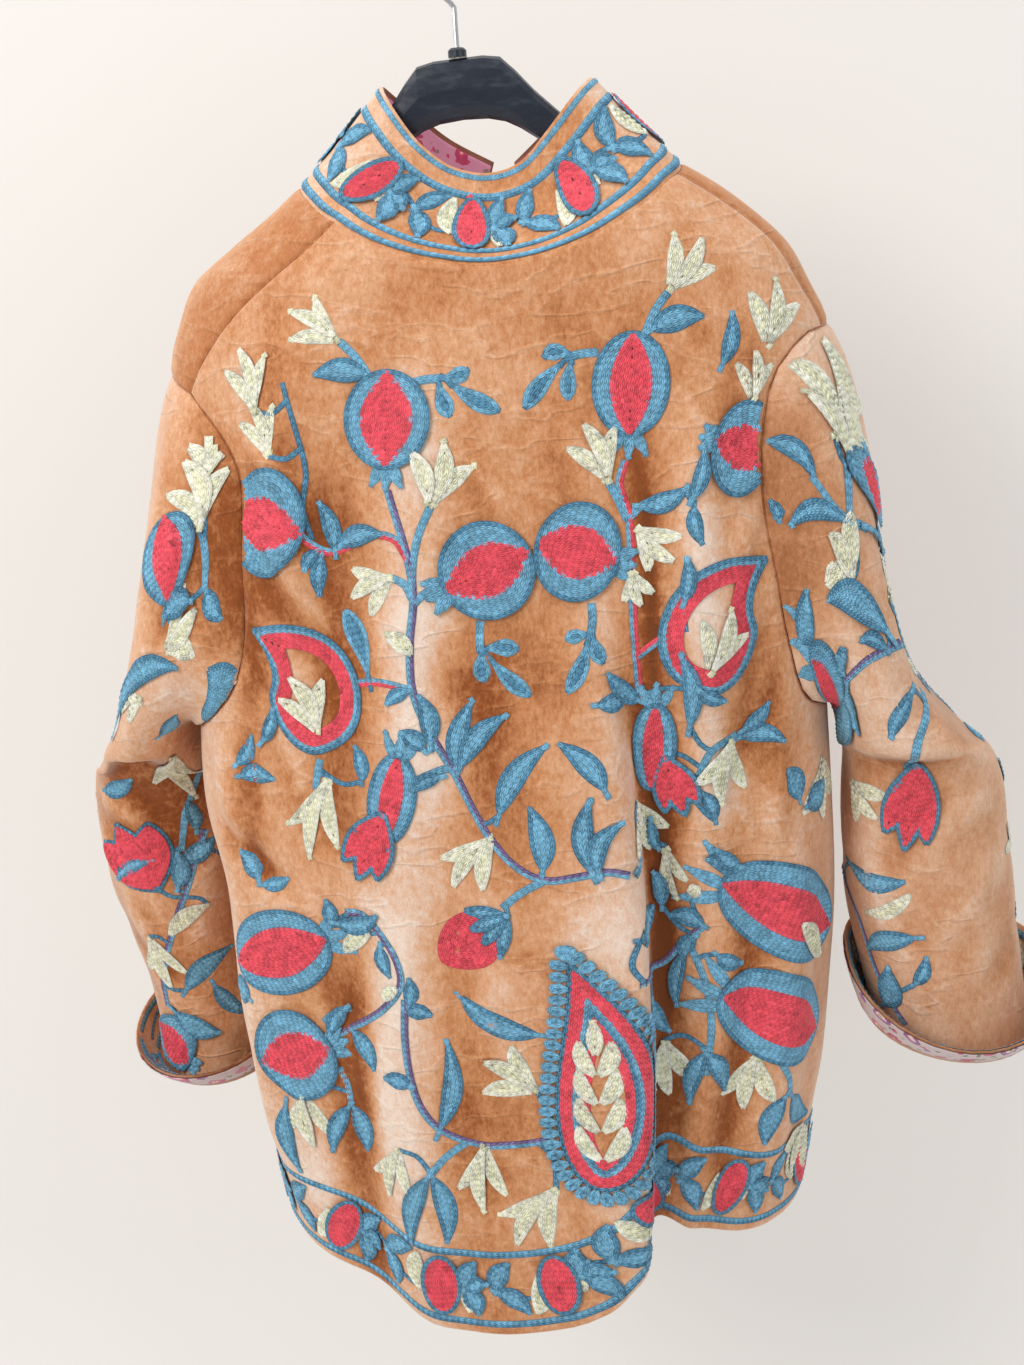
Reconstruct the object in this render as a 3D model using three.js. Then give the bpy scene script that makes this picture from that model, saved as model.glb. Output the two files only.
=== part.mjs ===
// Velvet jacket on a coat hanger. Millimetres, +Z up. The origin is under the top of the hook,
// where a rail carries it. The jacket's front faces -Y and the wearer's left is +X.
import * as THREE from 'three';

// ---------------------------------------------------------------- driving dimensions
const VELVET = 2.0;        // wall of the velvet pieces
const PRINT = 1.0;         // wall of the printed cotton pieces
const SEAM = 0.3;          // gap between neighbouring pieces
const LINING_INSET = 3;      // from a lining's edge to the edge it lies in
const LINING_GAP = 0.6;      // between a velvet wall and the lining on it
const FRONT_EDGE = 1.93;   // where the fronts end, in turns of q (2 is centre front)

const NECK_STEPS = { back: 26, front: 9 };     // columns along the neck seam
const SHOULDER_STEPS = 7;                      // along a shoulder seam
const ARM_STEPS = { back: 10, frontLower: 6 }; // along an armhole
const SIDE_STEPS = 14;                         // rows from the underarm to the hem
const CAP_STEPS = 7;                           // rows of a sleeve's head
const UNDERARM_Z = -516;
const EDGE_DIP = 24;           // the underarm row of a front is this much lower at its edge

// How far the rows of the back dip below their ends, by share of the panel's rows.
const BACK_DIP = [
  { at: 0, dip: 36 }, { at: 0.22, dip: -10 }, { at: 0.38, dip: 2 }, { at: 0.55, dip: 14 },
  { at: 1, dip: 40 },
];

// Horizontal sections of the body. q runs round a section: 0 centre back, 1 left side,
// -1 right side, 2 centre front. "square" fills the corners of the ellipse.
const BODY = [
  { z: -950, centre: -9, left: 196, right: 196, back: 134, front: 104, square: 0.03 },
  { z: -830, centre: -7, left: 212, right: 213, back: 126, front: 101, square: 0.04 },
  { z: -780, centre: -7, left: 220, right: 221, back: 122, front: 99, square: 0.045 },
  { z: -720, centre: -7, left: 226, right: 226, back: 117, front: 97, square: 0.05 },
  { z: -640, centre: -7, left: 226, right: 231, back: 111, front: 93, square: 0.05 },
  { z: -560, centre: -7, left: 231, right: 227, back: 105, front: 90, square: 0.05 },
  { z: -480, centre: -7, left: 226, right: 222, back: 98, front: 86, square: 0.05 },
  { z: -350, centre: -8, left: 222, right: 222, back: 86, front: 78, square: 0.04 },
  { z: -262, centre: -9, left: 221, right: 222, back: 76, front: 70, square: 0.03 },
  { z: -228, centre: -10, left: 211, right: 207, back: 72, front: 66, square: 0.02 },
  { z: -206, centre: -11, left: 200, right: 194, back: 69, front: 64, square: 0.01 },
  { z: -186, centre: -12, left: 174, right: 173, back: 65, front: 62, square: 0 },
  { z: -167, centre: -12, left: 145, right: 149, back: 61, front: 60, square: 0 },
  { z: -149, centre: -12.5, left: 121, right: 120, back: 56, front: 56, square: 0 },
  { z: -125, centre: -13, left: 84, right: 84, back: 46, front: 46, square: 0 },
];

// Seam lines on the body, as q and z.
const NECK_BACK = [
  { q: -0.72, z: -160 }, { q: -0.6, z: -165 }, { q: -0.385, z: -182 }, { q: -0.225, z: -197 },
  { q: -0.11, z: -205 }, { q: -0.015, z: -207 }, { q: 0.085, z: -202 }, { q: 0.21, z: -192 },
  { q: 0.395, z: -174.5 },
];
const NECK_FRONT = {
  left: [
    { q: 0.395, z: -174.5 }, { q: 0.65, z: -158 }, { q: 0.95, z: -149.5 }, { q: 1.2, z: -152 },
    { q: 1.43, z: -160 }, { q: 1.66, z: -179 }, { q: 1.82, z: -200 }, { q: FRONT_EDGE, z: -222 },
  ],
  right: [
    { q: -0.72, z: -160 }, { q: -0.955, z: -153.5 }, { q: -1.2, z: -155 }, { q: -1.43, z: -163 },
    { q: -1.66, z: -181 }, { q: -1.82, z: -201 }, { q: -FRONT_EDGE, z: -222 },
  ],
};
const SHOULDER = {
  left: [
    { q: 0.395, z: -174.5 }, { q: 0.445, z: -205 }, { q: 0.525, z: -229 }, { q: 0.595, z: -255 },
    { q: 0.655, z: -276 },
  ],
  right: [
    { q: -0.72, z: -160 }, { q: -0.79, z: -190 }, { q: -0.815, z: -222 }, { q: -0.845, z: -259 },
  ],
};
const ARMHOLE_BACK = {
  left: [
    { q: 0.655, z: -276 }, { q: 0.54, z: -299 }, { q: 0.472, z: -326 }, { q: 0.472, z: -385 },
    { q: 0.478, z: -440 }, { q: 0.54, z: -478 }, { q: 0.72, z: -505 }, { q: 1, z: UNDERARM_Z },
  ],
  right: [
    { q: -0.845, z: -259 }, { q: -0.72, z: -262 }, { q: -0.58, z: -283 }, { q: -0.53, z: -320 },
    { q: -0.525, z: -364 }, { q: -0.565, z: -414 }, { q: -0.605, z: -454 }, { q: -0.7, z: -497 },
    { q: -1, z: UNDERARM_Z },
  ],
};
const ARMHOLE_FRONT = {
  left: [
    { q: 0.655, z: -276 }, { q: 0.815, z: -268 }, { q: 1.05, z: -264 }, { q: 1.28, z: -278 },
    { q: 1.44, z: -318 }, { q: 1.5, z: -380 }, { q: 1.47, z: -440 }, { q: 1.34, z: -490 },
    { q: 1, z: UNDERARM_Z },
  ],
  right: [
    { q: -0.845, z: -259 }, { q: -1.05, z: -259 }, { q: -1.28, z: -274 }, { q: -1.44, z: -314 },
    { q: -1.5, z: -380 }, { q: -1.47, z: -440 }, { q: -1.34, z: -490 }, { q: -1, z: UNDERARM_Z },
  ],
};
const MID_ARMHOLE = 0.56;      // share of the front armhole beside the neck's curve
const MIDDLE_LEVEL = { neck: 0.6, underarm: 0.25 };   // how far a front's rows lean to the front edge
const HEM = [
  { q: -2, z: -905 }, { q: -1, z: -903 }, { q: -0.775, z: -899 }, { q: -0.54, z: -895 },
  { q: -0.36, z: -881 }, { q: -0.28, z: -869 }, { q: -0.24, z: -876 }, { q: -0.2, z: -890 },
  { q: -0.17, z: -901 }, { q: -0.13, z: -919 }, { q: -0.055, z: -934 }, { q: 0.07, z: -943 },
  { q: 0.18, z: -939 }, { q: 0.295, z: -927 }, { q: 0.435, z: -912 }, { q: 0.7, z: -903 },
  { q: 1, z: -903 }, { q: 2, z: -905 },
];

// Columns of the back across the deep fold are narrow: q at the hem, and steps up to it.
const BACK_COLUMNS = [
  { q: -0.42, steps: 6 }, { q: -0.12, steps: 9 }, { q: 1, steps: 11 },
];

// Soft folds: a ridge (out > 0) or trough along a line from top to bottom.
// "wide" is the half width across in mm, "fade" the length of each end in mm.
const FOLDS = [
  { name: 'shoulder blade ridge', qTop: 0.36, zTop: -225, qEnd: 0.3, zEnd: -450,
    out: 6, wide: 22, fade: 70 },
  { name: 'armhole drag', qTop: 0.27, zTop: -290, qEnd: 0.25, zEnd: -520, out: -7, wide: 20, fade: 80 },
  { name: 'left long ridge', qTop: 0.075, zTop: -235, qEnd: 0.23, zEnd: -960, out: 7, wide: 26, fade: 120 },
  { name: 'left long trough', qTop: 0.3, zTop: -620, qEnd: 0.36, zEnd: -960, out: -8, wide: 30, fade: 90 },
  { name: 'waist drag', qTop: 0.62, zTop: -560, qEnd: 0.4, zEnd: -625, out: -9, wide: 20, fade: 30 },
  { name: 'right long ridge', qTop: -0.38, zTop: -250, qEnd: -0.33, zEnd: -960,
    out: 8, wide: 20, fade: 120 },
  { name: 'left front ridge', qTop: 1.45, zTop: -420, qEnd: 1.4, zEnd: -960, out: 7, wide: 30, fade: 150 },
  { name: 'left front trough', qTop: 1.7, zTop: -330, qEnd: 1.66, zEnd: -960, out: -7, wide: 28, fade: 120 },
  { name: 'right front ridge', qTop: -1.5, zTop: -400, qEnd: -1.45, zEnd: -960,
    out: 7, wide: 28, fade: 140 },
  { name: 'right front trough', qTop: -1.74, zTop: -360, qEnd: -1.7, zEnd: -960,
    out: -6, wide: 26, fade: 120 },
];

// The deep fold beside the centre back: the cloth left of it rolls over the cloth right of it.
// "right" is the distance from its line, "shift" moves the cloth to the right, "out" along the normal.
const DEEP_FOLD = { qTop: -0.16, qEnd: -0.185, start: -385, full: -640 };
const DEEP_PROFILE = [
  { right: -110, out: 0, shift: 0 }, { right: -60, out: 3, shift: 2 }, { right: -28, out: 8, shift: 7 },
  { right: -8, out: 11, shift: 13 }, { right: 3, out: 7, shift: 15 }, { right: 11, out: -8, shift: 10 },
  { right: 19, out: -22, shift: 3 }, { right: 30, out: -29, shift: 0 }, { right: 55, out: -29, shift: 0 },
  { right: 110, out: -18, shift: 0 }, { right: 180, out: -6, shift: 0 }, { right: 250, out: 0, shift: 0 },
];

// Sleeves below the head: rings by height. The back and the front of a ring have heights of their own,
// so that the cloth above the elbow hangs over the forearm. "hang" keeps the back's height to the
// middle of the back, "turn" moves the points of the sides back, and "lift" raises the body side.
const SLEEVE = {
  left: [
    { back: -514, front: -524, x: 257, y: -8, across: 30, deep: 70 },
    { back: -532, front: -545, x: 267, y: -18, across: 37, deep: 66 },
    { back: -536, front: -558, x: 276, y: -30, across: 44, deep: 51, hang: 12, turn: 15 },
    { back: -560, front: -576, x: 281, y: -41, across: 48, deep: 48, turn: 8 },
    { back: -612, front: -614, x: 284, y: -53, across: 55, deep: 48 },
    { back: -660, front: -656, x: 281, y: -54, across: 56, deep: 49 },
    { back: -710, front: -700, x: 277, y: -59, across: 52, deep: 49 },
    { back: -753, front: -738, x: 272, y: -62, across: 48, deep: 48 },
    { back: -793, front: -774, x: 269, y: -62, across: 47, deep: 49 },
    { back: -824, front: -802, x: 267, y: -60, across: 48, deep: 50 },
  ],
  right: [
    { back: -514, front: -520, x: -268, y: 0, across: 36, deep: 66 },
    { back: -536, front: -540, x: -279, y: 1, across: 44, deep: 64 },
    { back: -546, front: -560, x: -289, y: -6, across: 50, deep: 56 },
    { back: -575, front: -585, x: -294, y: -8, across: 55, deep: 54 },
    { back: -625, front: -625, x: -297, y: -9, across: 58, deep: 53 },
    { back: -665, front: -660, x: -300, y: -9, across: 59, deep: 52 },
    { back: -705, front: -694, x: -305, y: -8, across: 58, deep: 52 },
    { back: -738, front: -724, x: -310, y: -6, across: 57, deep: 52, lift: 4 },
    { back: -770, front: -750, x: -315, y: -4, across: 57, deep: 53, lift: 10 },
  ],
};
const HEAD_LIFT = 22;          // degrees that a sleeve's head stands up from the shoulder
const HEAD_PULL = { seam: 0.75, ring: 0.8 };   // how far the head keeps its direction at either end
const UNDER_SPAN = 0.5;        // share of half a turn, under the arm, over which the head turns down

// The sleeve end turned back: how far its rim rises and flares, by angle round the ring
// (0 outside, 90 back, 180 against the body, -90 front).
const TURN_BACK = {
  left: [
    { angle: -180, rise: 38, flare: 6 }, { angle: -90, rise: 36, flare: 11 },
    { angle: 0, rise: 26, flare: 12 }, { angle: 90, rise: 20, flare: 23 },
    { angle: 180, rise: 38, flare: 6 },
  ],
  right: [
    { angle: -180, rise: 50, flare: 12 }, { angle: -90, rise: 44, flare: 11 },
    { angle: 0, rise: 38, flare: 14 }, { angle: 90, rise: 19, flare: 22 },
    { angle: 180, rise: 50, flare: 12 },
  ],
};
const TURN_GAP = 2.2;          // radius inside the fold of the turn-back

// The stand collar's rim, by q along the neck seam. "bow" curves the wall between seam and rim.
const COLLAR = [
  { q: -FRONT_EDGE, x: -26, y: -60, z: -141, bow: 0 }, { q: -1.66, x: -48, y: -50, z: -124, bow: 0 },
  { q: -1.43, x: -68, y: -34, z: -108, bow: 0 }, { q: -1.2, x: -80, y: -17, z: -99, bow: 0 },
  { q: -0.955, x: -85, y: 0, z: -97, bow: -1 }, { q: -0.72, x: -79, y: 13, z: -103, bow: -2 },
  { q: -0.6, x: -71, y: 18, z: -112, bow: -4 }, { q: -0.385, x: -55, y: 21, z: -130, bow: -6 },
  { q: -0.225, x: -41, y: 22, z: -144, bow: -8 }, { q: -0.11, x: -31, y: 22, z: -149, bow: -9 },
  { q: -0.015, x: -20, y: 22, z: -151, bow: -9 }, { q: 0.085, x: -8, y: 22, z: -150, bow: -8 },
  { q: 0.21, x: 8, y: 22, z: -144, bow: -6 }, { q: 0.395, x: 26, y: 20, z: -129, bow: -4 },
  { q: 0.65, x: 42, y: 14, z: -107, bow: -2 }, { q: 0.95, x: 51, y: 1, z: -92, bow: -1 },
  { q: 1.2, x: 46, y: -16, z: -97, bow: 0 }, { q: 1.43, x: 34, y: -34, z: -108, bow: 0 },
  { q: 1.66, x: 16, y: -50, z: -124, bow: 0 }, { q: FRONT_EDGE, x: -11, y: -60, z: -140, bow: 0 },
];
const COLLAR_ROWS = [0, 0.28, 0.55, 0.78, 1];
const LINING_END = 0.25;        // share of the end columns that the lining stops short

// The hanger: sections by distance from its middle.
const HANGER = [
  { x: 0, top: -80, bottom: -117, half: 7 }, { x: 16, top: -80, bottom: -118, half: 7 },
  { x: 27, top: -82, bottom: -121, half: 7 }, { x: 36, top: -91, bottom: -126, half: 7 },
  { x: 47, top: -104, bottom: -134, half: 7 }, { x: 62, top: -119, bottom: -146, half: 7 },
  { x: 82, top: -131.7, bottom: -159, half: 8 }, { x: 104, top: -146.2, bottom: -173, half: 8 },
  { x: 130, top: -162.2, bottom: -188, half: 9 }, { x: 158, top: -179.7, bottom: -203, half: 10 },
  { x: 178, top: -195.7, bottom: -213, half: 11 }, { x: 188, top: -205.2, bottom: -216, half: 9 },
];
const HANGER_TILT = 2.1;       // degrees, right arm up
const HANGER_SIDES = 12;
const HANGER_ROUND = 2.6;      // exponent of the rounded section
const HOOK = {
  wire: 1.7, inside: 20, stemFoot: -79.6, stemTop: -50, stemSteps: 6, start: -52, step: 16, end: 205,
  steps: 44, sides: 10,
};
const BOSS = { radius: 6, bore: 2.2, foot: -79.5, top: -74, edge: 1.5, sides: 20 };

// ---------------------------------------------------------------- materials
const finish = (name, color, roughness, metalness = 0) => (
  new THREE.MeshStandardMaterial({ color, roughness, metalness, name }));
const velvet = finish('velvet', 0xc98a58, 0.9);
const print = finish('print', 0xd45a72, 0.85);
const plastic = finish('plastic', 0x1d2430, 0.35);
const steel = finish('steel', 0xb9bec2, 0.3, 1);

const part = new THREE.Group();
const add = (name, geometry, material, parent = part) => {
  const mesh = new THREE.Mesh(geometry, material);
  mesh.name = name;
  parent.add(mesh);
  return mesh;
};

// ---------------------------------------------------------------- curves and tables
const radians = THREE.MathUtils.degToRad;
const lerp = THREE.MathUtils.lerp;
const smooth = (t) => THREE.MathUtils.smoothstep(t, 0, 1);

// The value of a column at a place in a table sorted by another column, on a smooth curve.
function track(rows, by, at, column) {
  const slope = (i) => {
    const a = rows[Math.max(i - 1, 0)];
    const b = rows[Math.min(i + 1, rows.length - 1)];
    return (b[column] - a[column]) / (b[by] - a[by]);
  };
  let i = 0;
  while (i < rows.length - 2 && at > rows[i + 1][by]) i += 1;
  const span = rows[i + 1][by] - rows[i][by];
  const t = THREE.MathUtils.clamp((at - rows[i][by]) / span, 0, 1);
  const t2 = t * t;
  const t3 = t2 * t;
  return (2 * t3 - 3 * t2 + 1) * rows[i][column] + (t3 - 2 * t2 + t) * span * slope(i)
    + (3 * t2 - 2 * t3) * rows[i + 1][column] + (t3 - t2) * span * slope(i + 1);
}

// Points in q and z at shares of a seam line's length on the body.
function alongSeam(line, shares) {
  const curve = new THREE.CatmullRomCurve3(line.map(({ q, z }) => new THREE.Vector3(q, z / 200, 0)), false,
    'centripetal');
  const fine = curve.getPoints(line.length * 12).map((p) => ({ q: p.x, z: p.y * 200 }));
  const places = fine.map(({ q, z }) => body(q, z));
  const run = [0];
  for (let i = 1; i < fine.length; i += 1) run.push(run[i - 1] + places[i].distanceTo(places[i - 1]));
  const total = run[run.length - 1];
  return shares.map((share) => {
    let i = 0;
    while (i < run.length - 2 && run[i + 1] < share * total) i += 1;
    const t = THREE.MathUtils.clamp((share * total - run[i]) / (run[i + 1] - run[i]), 0, 1);
    return { q: lerp(fine[i].q, fine[i + 1].q, t), z: lerp(fine[i].z, fine[i + 1].z, t) };
  });
}
const shares = (steps) => Array.from({ length: steps + 1 }, (_, i) => i / steps);

// ---------------------------------------------------------------- the body's surface
function body(q, z) {
  const at = (column) => track(BODY, 'z', z, column);
  const turn = q * Math.PI / 2;
  const square = at('square');
  const across = (Math.sin(turn) + square * Math.sin(3 * turn)) / (1 - square);
  const deep = (Math.cos(turn) - square * Math.cos(3 * turn)) / (1 - square);
  const x = at('centre') + across * at(across > 0 ? 'left' : 'right');
  return new THREE.Vector3(x, deep * at(deep > 0 ? 'back' : 'front'), z);
}

function bodyFrame(q, z) {
  const step = 0.004;
  const round = body(q + step, z).sub(body(q - step, z)).normalize();
  const down = body(q, z - 1).sub(body(q, z + 1)).normalize();
  const normal = new THREE.Vector3().crossVectors(round, down).normalize();
  return { round, down, normal };
}

function softFold(fold, q, z) {
  const along = (fold.zTop - z) / (fold.zTop - fold.zEnd);
  const fade = fold.fade / (fold.zTop - fold.zEnd);
  const open = smooth(along / fade) * (fold.zEnd < -940 ? 1 : smooth((1 - along) / fade));
  const line = lerp(fold.qTop, fold.qEnd, THREE.MathUtils.clamp(along, 0, 1));
  const away = body(q, z).distanceTo(body(line, z)) / fold.wide;
  return fold.out * open * Math.exp(-away * away);
}

function deepFold(q, z) {
  const depth = smooth((DEEP_FOLD.start - z) / (DEEP_FOLD.start - DEEP_FOLD.full));
  const line = lerp(DEEP_FOLD.qTop, DEEP_FOLD.qEnd, (DEEP_FOLD.start - z) / (DEEP_FOLD.start + 940));
  const right = body(q, z).distanceTo(body(line, z)) * Math.sign(line - q);
  const last = DEEP_PROFILE[DEEP_PROFILE.length - 1].right;
  if (depth === 0 || right <= DEEP_PROFILE[0].right || right >= last) return { out: 0, shift: 0 };
  return {
    out: depth * track(DEEP_PROFILE, 'right', right, 'out'),
    shift: depth * track(DEEP_PROFILE, 'right', right, 'shift'),
  };
}

// The outer face of the cloth, with its folds.
function cloth(q, z) {
  const { round, normal } = bodyFrame(q, z);
  const deep = deepFold(q, z);
  let out = deep.out;
  for (const fold of FOLDS) out += softFold(fold, q, z);
  return body(q, z).addScaledVector(normal, out).addScaledVector(round, -deep.shift);
}

// ---------------------------------------------------------------- walls
const wrapColumn = (j, columns, closed) => (closed
  ? (j + columns) % columns : THREE.MathUtils.clamp(j, 0, columns - 1));

// A grid moved inward by a depth. "inward" gives the direction at points where the grid's own
// normal isn't used.
function sunk(grid, depth, closed, inward = () => null) {
  const last = grid.length - 1;
  return grid.map((row, i) => row.map((point, j) => {
    const given = inward(i, j);
    if (given) return point.clone().addScaledVector(given, depth);
    const along = grid[Math.min(i + 1, last)][j].clone().sub(grid[Math.max(i - 1, 0)][j]);
    const next = row[wrapColumn(j + 1, row.length, closed)].clone();
    const round = next.sub(row[wrapColumn(j - 1, row.length, closed)]);
    const normal = new THREE.Vector3().crossVectors(along, round).normalize();
    return point.clone().addScaledVector(normal, -depth);
  }));
}

// A closed wall from the grid of its outer points, "closed" when a row is a ring. Seen from outside,
// rows run down and their points run to the right, or rows run up and their points run to the left.
function wall(grid, thickness, closed, inward) {
  const rows = grid.length;
  const columns = grid[0].length;
  const wrap = (j) => wrapColumn(j, columns, closed);
  const inner = sunk(grid, thickness, closed, inward);
  const points = [...grid.flat(), ...inner.flat()];
  const shift = rows * columns;
  const faces = [];
  const quad = (a, b, c, d) => {
    if (points[a].distanceTo(points[c]) <= points[b].distanceTo(points[d])) faces.push([a, b, c], [a, c, d]);
    else faces.push([b, c, d], [b, d, a]);
  };
  const last = closed ? columns : columns - 1;
  for (let i = 0; i < rows - 1; i += 1) {
    for (let j = 0; j < last; j += 1) {
      const a = i * columns + j;
      const b = (i + 1) * columns + j;
      const c = (i + 1) * columns + wrap(j + 1);
      const d = i * columns + wrap(j + 1);
      quad(a, b, c, d);
      quad(d + shift, c + shift, b + shift, a + shift);
    }
  }
  for (let j = 0; j < last; j += 1) {
    const end = (rows - 1) * columns;
    quad(j, wrap(j + 1), wrap(j + 1) + shift, j + shift);
    quad(end + j + shift, end + wrap(j + 1) + shift, end + wrap(j + 1), end + j);
  }
  for (let i = 0; !closed && i < rows - 1; i += 1) {
    const a = i * columns;
    const b = (i + 1) * columns;
    quad(b, a, a + shift, b + shift);
    quad(a + columns - 1, b + columns - 1, b + columns - 1 + shift, a + columns - 1 + shift);
  }
  return solid(points, faces);
}

// A closed solid of points and faces, turned so that its faces point out.
function solid(points, faces) {
  let volume = 0;
  for (const [a, b, c] of faces) volume += points[a].dot(points[b].clone().cross(points[c]));
  const order = volume > 0 ? faces.flat() : faces.flatMap(([a, b, c]) => [a, c, b]);
  const geometry = new THREE.BufferGeometry().setFromPoints(points);
  geometry.setIndex(order);
  geometry.computeVertexNormals();
  return geometry;
}

// A grid on the inner face of a velvet wall, its first and last rows pulled back from the wall's edges.
function liningGrid(grid, closed, firstRow) {
  const rows = sunk(grid, VELVET + LINING_GAP, closed).slice(firstRow);
  const pull = (from, to) => from.forEach((point, j) => {
    point.add(to[j].clone().sub(point).setLength(LINING_INSET));
  });
  pull(rows[0], rows[1]);
  pull(rows[rows.length - 1], rows[rows.length - 2]);
  return rows;
}

// Half of the seam's gap is taken off each edge of a panel that is sewn.
function trim(grid, { top, left, right }) {
  const rows = grid.length;
  const columns = grid[0].length;
  const pull = (from, to) => from.add(to.clone().sub(from).setLength(SEAM / 2));
  if (left) for (let i = 0; i < rows; i += 1) pull(grid[i][0], grid[i][1]);
  if (right) for (let i = 0; i < rows; i += 1) pull(grid[i][columns - 1], grid[i][columns - 2]);
  if (top) for (let j = 0; j < columns; j += 1) pull(grid[0][j], grid[1][j]);
  return grid;
}

// The spots of a panel, in q and z. Each row runs from one side through the "middle" line to the other side;
// the first and last rows follow their own seams, and the rows near them bend to suit.
const EDGE_POWER = 3;          // rows follow the middle line except near the sides
const BEND_ROWS = 9;           // rows that share the bend of the first or last row
function panel({ start, middle, end }, first, last, columns) {
  const rows = start.length;
  const place = (i, share) => {
    const t = 2 * share - 1;
    const side = t < 0 ? start[i] : end[i];
    const away = Math.abs(t);
    const spread = Math.abs(side.q - middle[i].q);
    const crowd = middle[i].even ? 0 : Math.max(1 - spread, 0);
    const q = middle[i].q + (side.q - middle[i].q) * away * (1 + crowd * (1 - away));
    return { q, z: lerp(middle[i].z, side.z, away ** EDGE_POWER) };
  };
  const bends = (row, i) => row.map((goal, j) => {
    const free = place(i, columns[j]);
    return { q: goal.q - free.q, z: goal.z - free.z };
  });
  const firstBend = bends(first, 0);
  const lastBend = bends(last, rows - 1);
  return start.map((_, i) => columns.map((share, j) => {
    const top = Math.max(1 - i / BEND_ROWS, 0) ** 2;
    const foot = Math.max(1 - (rows - 1 - i) / BEND_ROWS, 0) ** 2;
    const { q, z } = place(i, share);
    const bend = (key) => top * firstBend[j][key] + foot * lastBend[j][key];
    return { q: q + bend('q'), z: z + bend('z') };
  }));
}

// The wall of a panel from its spots. On sewn edges it stands square to the body, so that
// neighbouring walls meet in one plane.
function panelWall(spots, trimmed) {
  const grid = spots.map((row) => row.map(({ q, z }) => cloth(q, z)));
  trimmed(grid);
  const last = spots[0].length - 1;
  const inward = (i, j) => {
    if (i > 0 && j > 0 && j < last) return null;
    return bodyFrame(spots[i][j].q, spots[i][j].z).normal.negate();
  };
  return wall(grid, VELVET, false, inward);
}

// ---------------------------------------------------------------- shared seam samples
const sides = ['left', 'right'];
const sign = { left: 1, right: -1 };
const hem = (q) => ({ q, z: track(HEM, 'q', q, 'z') });
const shoulderSeam = {};
const armBack = {};
const armFront = {};
const neckFront = {};
const sideSeam = {};
for (const side of sides) {
  shoulderSeam[side] = alongSeam(SHOULDER[side], shares(SHOULDER_STEPS));
  armBack[side] = alongSeam(ARMHOLE_BACK[side], shares(ARM_STEPS.back));
  const upper = shares(NECK_STEPS.front).map((t) => t * MID_ARMHOLE);
  const lower = shares(ARM_STEPS.frontLower).slice(1).map((t) => lerp(MID_ARMHOLE, 1, t));
  armFront[side] = alongSeam(ARMHOLE_FRONT[side], [...upper, ...lower]);
  neckFront[side] = alongSeam(NECK_FRONT[side], shares(NECK_STEPS.front));
  sideSeam[side] = shares(SIDE_STEPS).map((t) => ({
    q: sign[side],
    z: lerp(UNDERARM_Z, hem(sign[side]).z, t),
  }));
}
const backShares = [0];
let columnStart = -1;
for (const { q, steps } of BACK_COLUMNS) {
  for (let i = 1; i <= steps; i += 1) backShares.push((lerp(columnStart, q, i / steps) + 1) / 2);
  columnStart = q;
}
const neckBack = alongSeam(NECK_BACK, backShares);

// ---------------------------------------------------------------- panels
function makeBack() {
  const side = (name) => [...shoulderSeam[name], ...armBack[name].slice(1), ...sideSeam[name].slice(1)];
  const start = side('right');
  const end = side('left');
  const middle = start.map(({ z }, i) => {
    const at = i / (start.length - 1);
    return { q: -0.16 * (1 - at), z: (z + end[i].z) / 2 - track(BACK_DIP, 'at', at, 'dip') };
  });
  const last = backShares.map((share) => hem(lerp(-1, 1, share)));
  const spots = panel({ start, middle, end }, neckBack, last, backShares).map((row) => row.reverse());
  return panelWall(spots, (grid) => trim(grid, { top: true, left: true, right: true }));
}

function makeFront(side) {
  const s = sign[side];
  const even = shares(SHOULDER_STEPS);
  const outer = [...armFront[side], ...sideSeam[side].slice(1)];
  const neckEnd = neckFront[side][NECK_STEPS.front];
  const edgeSteps = ARM_STEPS.frontLower + SIDE_STEPS;
  const underarm = ARM_STEPS.frontLower / edgeSteps;
  const dip = UNDERARM_Z - EDGE_DIP;
  const edge = shares(edgeSteps).slice(1).map((t) => {
    const toUnderarm = lerp(neckEnd.z, dip, t / underarm);
    const toHem = lerp(dip, hem(s * FRONT_EDGE).z, (t - underarm) / (1 - underarm));
    return { q: s * FRONT_EDGE, z: t < underarm ? toUnderarm : toHem };
  });
  const inner = [...neckFront[side], ...edge];
  const underarmRow = NECK_STEPS.front + ARM_STEPS.frontLower;
  const middle = outer.map(({ q, z }, i) => {
    const level = lerp(MIDDLE_LEVEL.neck, MIDDLE_LEVEL.underarm, smooth(i / underarmRow));
    return { q: (q + inner[i].q) / 2, z: lerp(z, inner[i].z, level), even: true };
  });
  const first = [...shoulderSeam[side]].reverse();
  const last = even.map((share) => hem(lerp(s, s * FRONT_EDGE, share)));
  const spots = panel({ start: outer, middle, end: inner }, first, last, even);
  if (side === 'left') spots.forEach((row) => row.reverse());
  return panelWall(spots, (grid) => {
    trim(grid, { top: true, left: side === 'right', right: side === 'left' });
    for (let i = 1; i <= NECK_STEPS.front; i += 1) {
      const row = side === 'right' ? [...grid[i]].reverse() : grid[i];
      row[0].add(row[1].clone().sub(row[0]).setLength(SEAM / 2));
    }
  });
}

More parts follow.
